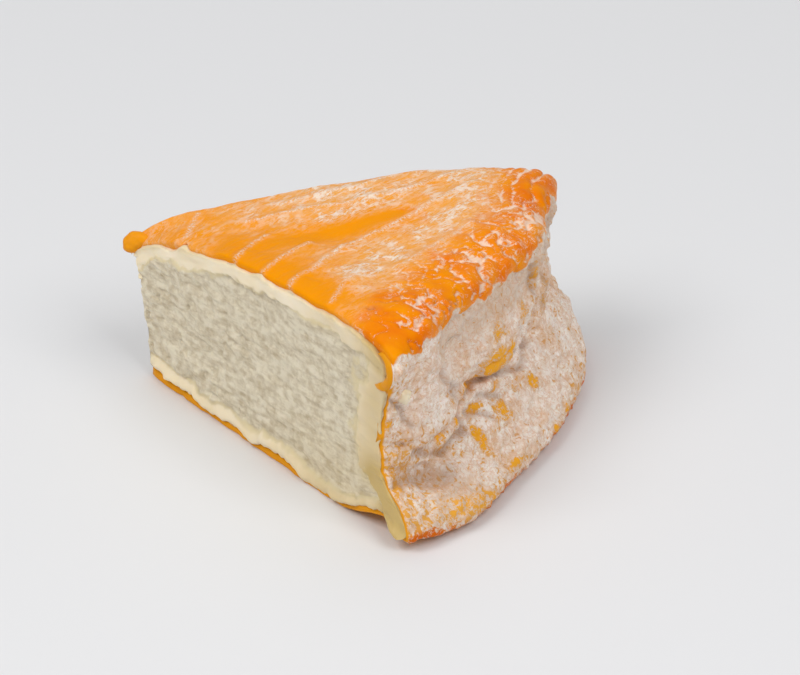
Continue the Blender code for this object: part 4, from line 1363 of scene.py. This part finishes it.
RIND_COATS = (
    # Painted sheen and a thin film: the hazy orange
    ("haze_and_sheen", 1.0, "hazy_sheen_orange"),
    ("deep", 1.0, "deep_orange"),
    ("walled", 1.0, "tan"),
    ("walled warm", 1.0, "speck"),
    ("walled rubbed", 1.0, "ochre"),
    ("walled mottle", 0.6, "speck"),
    ("foot", 1.0, "foot"),
    ("cut_edge", 1.0, "rind_edge"),
    ("on_base", 1.0, "rind_edge"),
    ("top_bloom", 1.0, "top_bloom"),
    ("wall_bloom", 1.0, "wall_bloom"),
    ("wall_bloom pink", 1.0, "pink_bloom"),
    ("wall_bloom peach", 0.55, "peach"),
    ("wall_bloom light", 0.8, "bloom_light"),
    # Painted shade of the bloom under the rim and on the flare
    ("wall_bloom greyed", 0.72, "shaded_bloom"),
    ("wall_bloom furry", 0.34, "tan"),
    ("wall_bloom threads", 0.50, "thread"),
    # Painted shade: mauve in the wall's folds and the rim's pits
    ("recess_shade", 0.60, "recess_shade_mauve"),
)
BUMP_STRENGTH = 0.6
RIND_BUMP = 0.0003
RIND_SHADER = {
    "IOR": 1.40, "Specular IOR Level": 0.07, "Subsurface Weight": 0.10,
    "Subsurface Scale": 0.0015, "Subsurface Radius": (1.0, 0.45, 0.2),
}
# The patterns of the paste: curds of about 1.5 mm drawn out along the cut, clumps of about 2 mm,
# grain of about 0.4 mm, and clouds of about 6 mm
PASTE_PATTERNS = {
    "curds": ("drawn", 0.72, 5.0, 0.58, 0.6),
    "clumps": ("even", 0.46, 6.0, 0.62, 0.2),
    "grain": ("even", 2.4, 5.0, 0.70, 0.0),
    "clouds": ("even", 0.16, 3.0, 0.50, 0.0),
}
PASTE_SUMS = {
    "chalky": (1.0, {"cream": -1.0}),
    "clotted": (-1.95, {"curds": 2.4, "clumps": 2.8}),
    "yellow": (-1.6, {"clouds": 4.2}),
    "border": (0.0, {"cream chalky": 2.2}),
    "torn": (0.0, {"curds": 0.5, "clumps": 0.4, "grain": 0.1}),
    "height": (0.0, {"torn chalky": 0.9, "grain": 0.06}),
    "roughness": (0.78, {"cream": -0.32}),
}
PASTE_COATS = (
    ("yellow", 0.6, "cream_yellow"),
    # Ripening beside the rind, and painted shade low in the outer corner
    ("rim", 1.0, "cream_rim"),
    ("chalky", 1.0, "chalk_shade"),
    ("chalky clotted", 1.0, "chalk"),
    ("chalky rim", 0.5, "cream_rim"),
    ("border", 1.0, "ripening"),
)
PASTE_BUMP = 0.0007
PASTE_SHADER = {
    "IOR": 1.45, "Subsurface Weight": 0.18, "Subsurface Scale": 0.0012,
    "Subsurface Radius": (1.0, 0.8, 0.5),
}


def washed_rind_finish(colours):
    """Washed rind: a moist smooth skin, orange from its bacteria, under a dry white bloom. The
    orange is glossy and lets light in a little, and the bloom is dull like flour."""
    name = "washed_rind_with_bloom"
    material, tree, known = new_finish(name, RIND_MASKS, RIND_TURN, RIND_PATTERNS)
    for lines, (noise, width) in RIND_LINES.items():
        known[lines] = net(tree, known[noise], width)
    add_sums(tree, known, RIND_SUMS)
    bare = known["rubbed_off"]
    for spots in ("specked", "flecked"):
        bare = add_node(tree, "ShaderNodeMath", {0: bare, 1: known[spots]}, operation="MAXIMUM")
    known["bare_wall"] = bare
    add_sums(tree, known, RIND_TINTS)
    colour = coated(tree, known, RIND_COATS, colours, colours["orange"])
    finish_shader(tree, known, colour, RIND_BUMP, RIND_SHADER)
    return material


def chalky_paste_finish(colours):
    """Curd under a washed rind: dry, chalky and crumbly in the middle, where the knife tears it
    into short streaks, and ripened to a smooth moist cream in a band under the rind."""
    name, turn = "chalky_paste_with_cream_band", math.radians(HALF_ANGLE)
    material, tree, known = new_finish(name, PASTE_MASKS, turn, PASTE_PATTERNS)
    add_sums(tree, known, PASTE_SUMS)
    colour = coated(tree, known, PASTE_COATS, colours, colours["cream"])
    finish_shader(tree, known, colour, PASTE_BUMP, PASTE_SHADER)
    return material


def table_finish(colour):
    """A matt white laminate table top."""
    material = bpy.data.materials.new("matt_white_table")
    material.use_nodes = True
    shader = material.node_tree.nodes["Principled BSDF"]
    shader.inputs["Base Color"].default_value = colour
    shader.inputs["Roughness"].default_value = 0.6
    return material


RIND_COLOURS = {
    "orange": linear("#f19400"),
    # Orange under a thin film and painted sheen
    "hazy_sheen_orange": linear("#efa64c"),
    "deep_orange": linear("#e87400"),
    "ochre": linear("#f0a828"),
    "tan": linear("#d2a070"),
    "speck": linear("#dfa24c"),
    "foot": linear("#d96a10"),
    "rind_edge": linear("#e5981a"),
    "top_bloom": linear("#f2dcc8"),
    "wall_bloom": linear("#ebddd0"),
    "pink_bloom": linear("#e2c7b1"),
    "peach": linear("#e2b48a"),
    "thread": linear("#cf9156"),
    # Bloom in painted shade
    "shaded_bloom": linear("#cfb8a3"),
    "bloom_light": linear("#faf2ea"),
    # Painted shade of the folds and pits
    "recess_shade_mauve": linear("#9a7864"),
}
PASTE_COLOURS = {
    "chalk": linear("#e4d9c0"),
    "chalk_shade": linear("#c0b093"),
    "cream": linear("#f6e8cd"),
    "cream_yellow": linear("#f3e0b8"),
    "cream_rim": linear("#c9ac6b"),
    "ripening": linear("#dfcd9b"),
}


# The add-on

def colour_property(name, description, value):
    """A colour that the panel shows."""
    return bpy.props.FloatVectorProperty(
        name=name, description=description, size=4, subtype="COLOR", min=0.0, max=1.0, default=value
    )


class CheeseColours(bpy.types.PropertyGroup):
    """Colours of the cheese."""

    orange: colour_property("Rind", "Bare washed rind", RIND_COLOURS["orange"])
    bloom: colour_property("Bloom", "White bloom of the wall", RIND_COLOURS["wall_bloom"])
    chalk: colour_property("Chalk", "Chalky middle of the paste", PASTE_COLOURS["chalk"])
    cream: colour_property("Cream", "Cream band under the rind", PASTE_COLOURS["cream"])
    table: colour_property("Table", "The floor it stands on", linear("#e3e3e4"))


class CheeseStage(bpy.types.PropertyGroup):
    """Where the camera stands."""

    azimuth: bpy.props.FloatProperty(
        name="Azimuth", description="How far the camera is turned round the cheese",
        subtype="ANGLE", default=math.radians(20.5),
    )
    elevation: bpy.props.FloatProperty(
        name="Elevation", description="How far the camera looks down",
        subtype="ANGLE", default=math.radians(31.0),
    )
    distance: bpy.props.FloatProperty(
        name="Distance", description="From the camera to the cheese", unit="LENGTH", default=1.1547
    )
    lens: bpy.props.FloatProperty(
        name="Lens", description="Focal length in millimetres", unit="CAMERA", default=225.0
    )


class LANGRES_OT_paste(bpy.types.Operator):
    """Makes the paste with its two cut faces"""

    bl_idname = "langres.paste"
    bl_label = "Paste"

    def execute(self, context):
        colours = dict(PASTE_COLOURS)
        colours["chalk"] = context.scene.cheese_colours.chalk
        colours["cream"] = context.scene.cheese_colours.cream
        build_paste(chalky_paste_finish(colours))
        return {"FINISHED"}


class LANGRES_OT_rind(bpy.types.Operator):
    """Makes the rind, the curl at the tip and the fold of the rim"""

    bl_idname = "langres.rind"
    bl_label = "Rind"

    def execute(self, context):
        colours = dict(RIND_COLOURS)
        colours["orange"] = context.scene.cheese_colours.orange
        colours["wall_bloom"] = context.scene.cheese_colours.bloom
        finish = washed_rind_finish(colours)
        build_rind(finish)
        build_curl(finish)
        build_fold(finish)
        return {"FINISHED"}


class LANGRES_OT_crumbs(bpy.types.Operator):
    """Makes the crumbs that the knife left"""

    bl_idname = "langres.crumbs"
    bl_label = "Crumbs"

    def execute(self, context):
        build_crumbs(bpy.data.materials["chalky_paste_with_cream_band"])
        return {"FINISHED"}


def add_light(name, spot, size, power, aim):
    """A square soft light at a spot, turned to the point it aims at."""
    lamp = bpy.data.lights.new(name, "AREA")
    lamp.energy, lamp.size = power, size
    light = bpy.data.objects.new(name, lamp)
    light.location = spot
    light.rotation_euler = (Vector(spot) - Vector(aim)).to_track_quat("Z", "Y").to_euler()
    bpy.context.scene.collection.objects.link(light)


class LANGRES_OT_stage(bpy.types.Operator):
    """Sets up the pale floor, the soft lights and the camera"""

    bl_idname = "langres.stage"
    bl_label = "Floor, lights and camera"

    def execute(self, context):
        scene, stage = context.scene, context.scene.cheese_stage
        half = 3.0
        corners = [(-half, -half, 0), (half, -half, 0), (half, half, 0), (-half, half, 0)]
        mesh = bpy.data.meshes.new("floor")
        mesh.from_pydata(corners, [], [(0, 1, 2, 3)])
        floor = bpy.data.objects.new("floor", mesh)
        floor.data.materials.append(table_finish(scene.cheese_colours.table))
        scene.collection.objects.link(floor)
        aim = (0.0141, 0.0047, 0.020)
        add_light("window", (-0.15, 0.55, 1.15), 0.9, 1.4, aim)
        add_light("right_lamp", (0.85, -0.42, 1.15), 0.8, 8.2, aim)
        add_light("left_lamp", (-0.55, -0.75, 1.25), 0.8, 11.0, aim)
        world = bpy.data.worlds.new("soft_room")
        world.use_nodes = True
        world.node_tree.nodes["Background"].inputs["Color"].default_value = linear("#f4f5f7")
        world.node_tree.nodes["Background"].inputs["Strength"].default_value = 0.41
        scene.world = world
        scene.view_settings.view_transform = "Standard"
        turn, rise = stage.azimuth, stage.elevation
        back = Vector((
            math.sin(turn) * math.cos(rise), -math.cos(turn) * math.cos(rise), math.sin(rise)
        ))
        camera = bpy.data.cameras.new("camera")
        camera.lens, camera.sensor_width = stage.lens, 36.0
        holder = bpy.data.objects.new("camera", camera)
        holder.location = Vector(aim) + back * stage.distance
        holder.rotation_euler = back.to_track_quat("Z", "Y").to_euler()
        scene.collection.objects.link(holder)
        scene.camera = holder
        return {"FINISHED"}


class LANGRES_PT_panel(bpy.types.Panel):
    """Lists the pieces and their settings"""

    bl_label = "Langres cheese"
    bl_idname = "LANGRES_PT_panel"
    bl_space_type = "VIEW_3D"
    bl_region_type = "UI"
    bl_category = "Langres"

    def draw(self, context):
        for operator in STEPS:
            self.layout.operator(operator.bl_idname)
        for name in ("orange", "bloom", "chalk", "cream", "table"):
            self.layout.prop(context.scene.cheese_colours, name)
        for name in ("azimuth", "elevation", "distance", "lens"):
            self.layout.prop(context.scene.cheese_stage, name)


STEPS = (LANGRES_OT_paste, LANGRES_OT_rind, LANGRES_OT_crumbs, LANGRES_OT_stage)
CLASSES = (CheeseColours, CheeseStage, *STEPS, LANGRES_PT_panel)


def register():
    """Registers the classes and the scene's settings."""
    for cls in CLASSES:
        bpy.utils.register_class(cls)
    bpy.types.Scene.cheese_colours = bpy.props.PointerProperty(type=CheeseColours)
    bpy.types.Scene.cheese_stage = bpy.props.PointerProperty(type=CheeseStage)


def unregister():
    """Takes the scene's settings and the classes away again."""
    del bpy.types.Scene.cheese_stage
    del bpy.types.Scene.cheese_colours
    for cls in reversed(CLASSES):
        bpy.utils.unregister_class(cls)


def main():
    """Makes every piece in order, then the stage."""
    register()
    bpy.ops.langres.paste()
    bpy.ops.langres.rind()
    bpy.ops.langres.crumbs()
    bpy.ops.langres.stage()


if __name__ == "__main__":
    main()
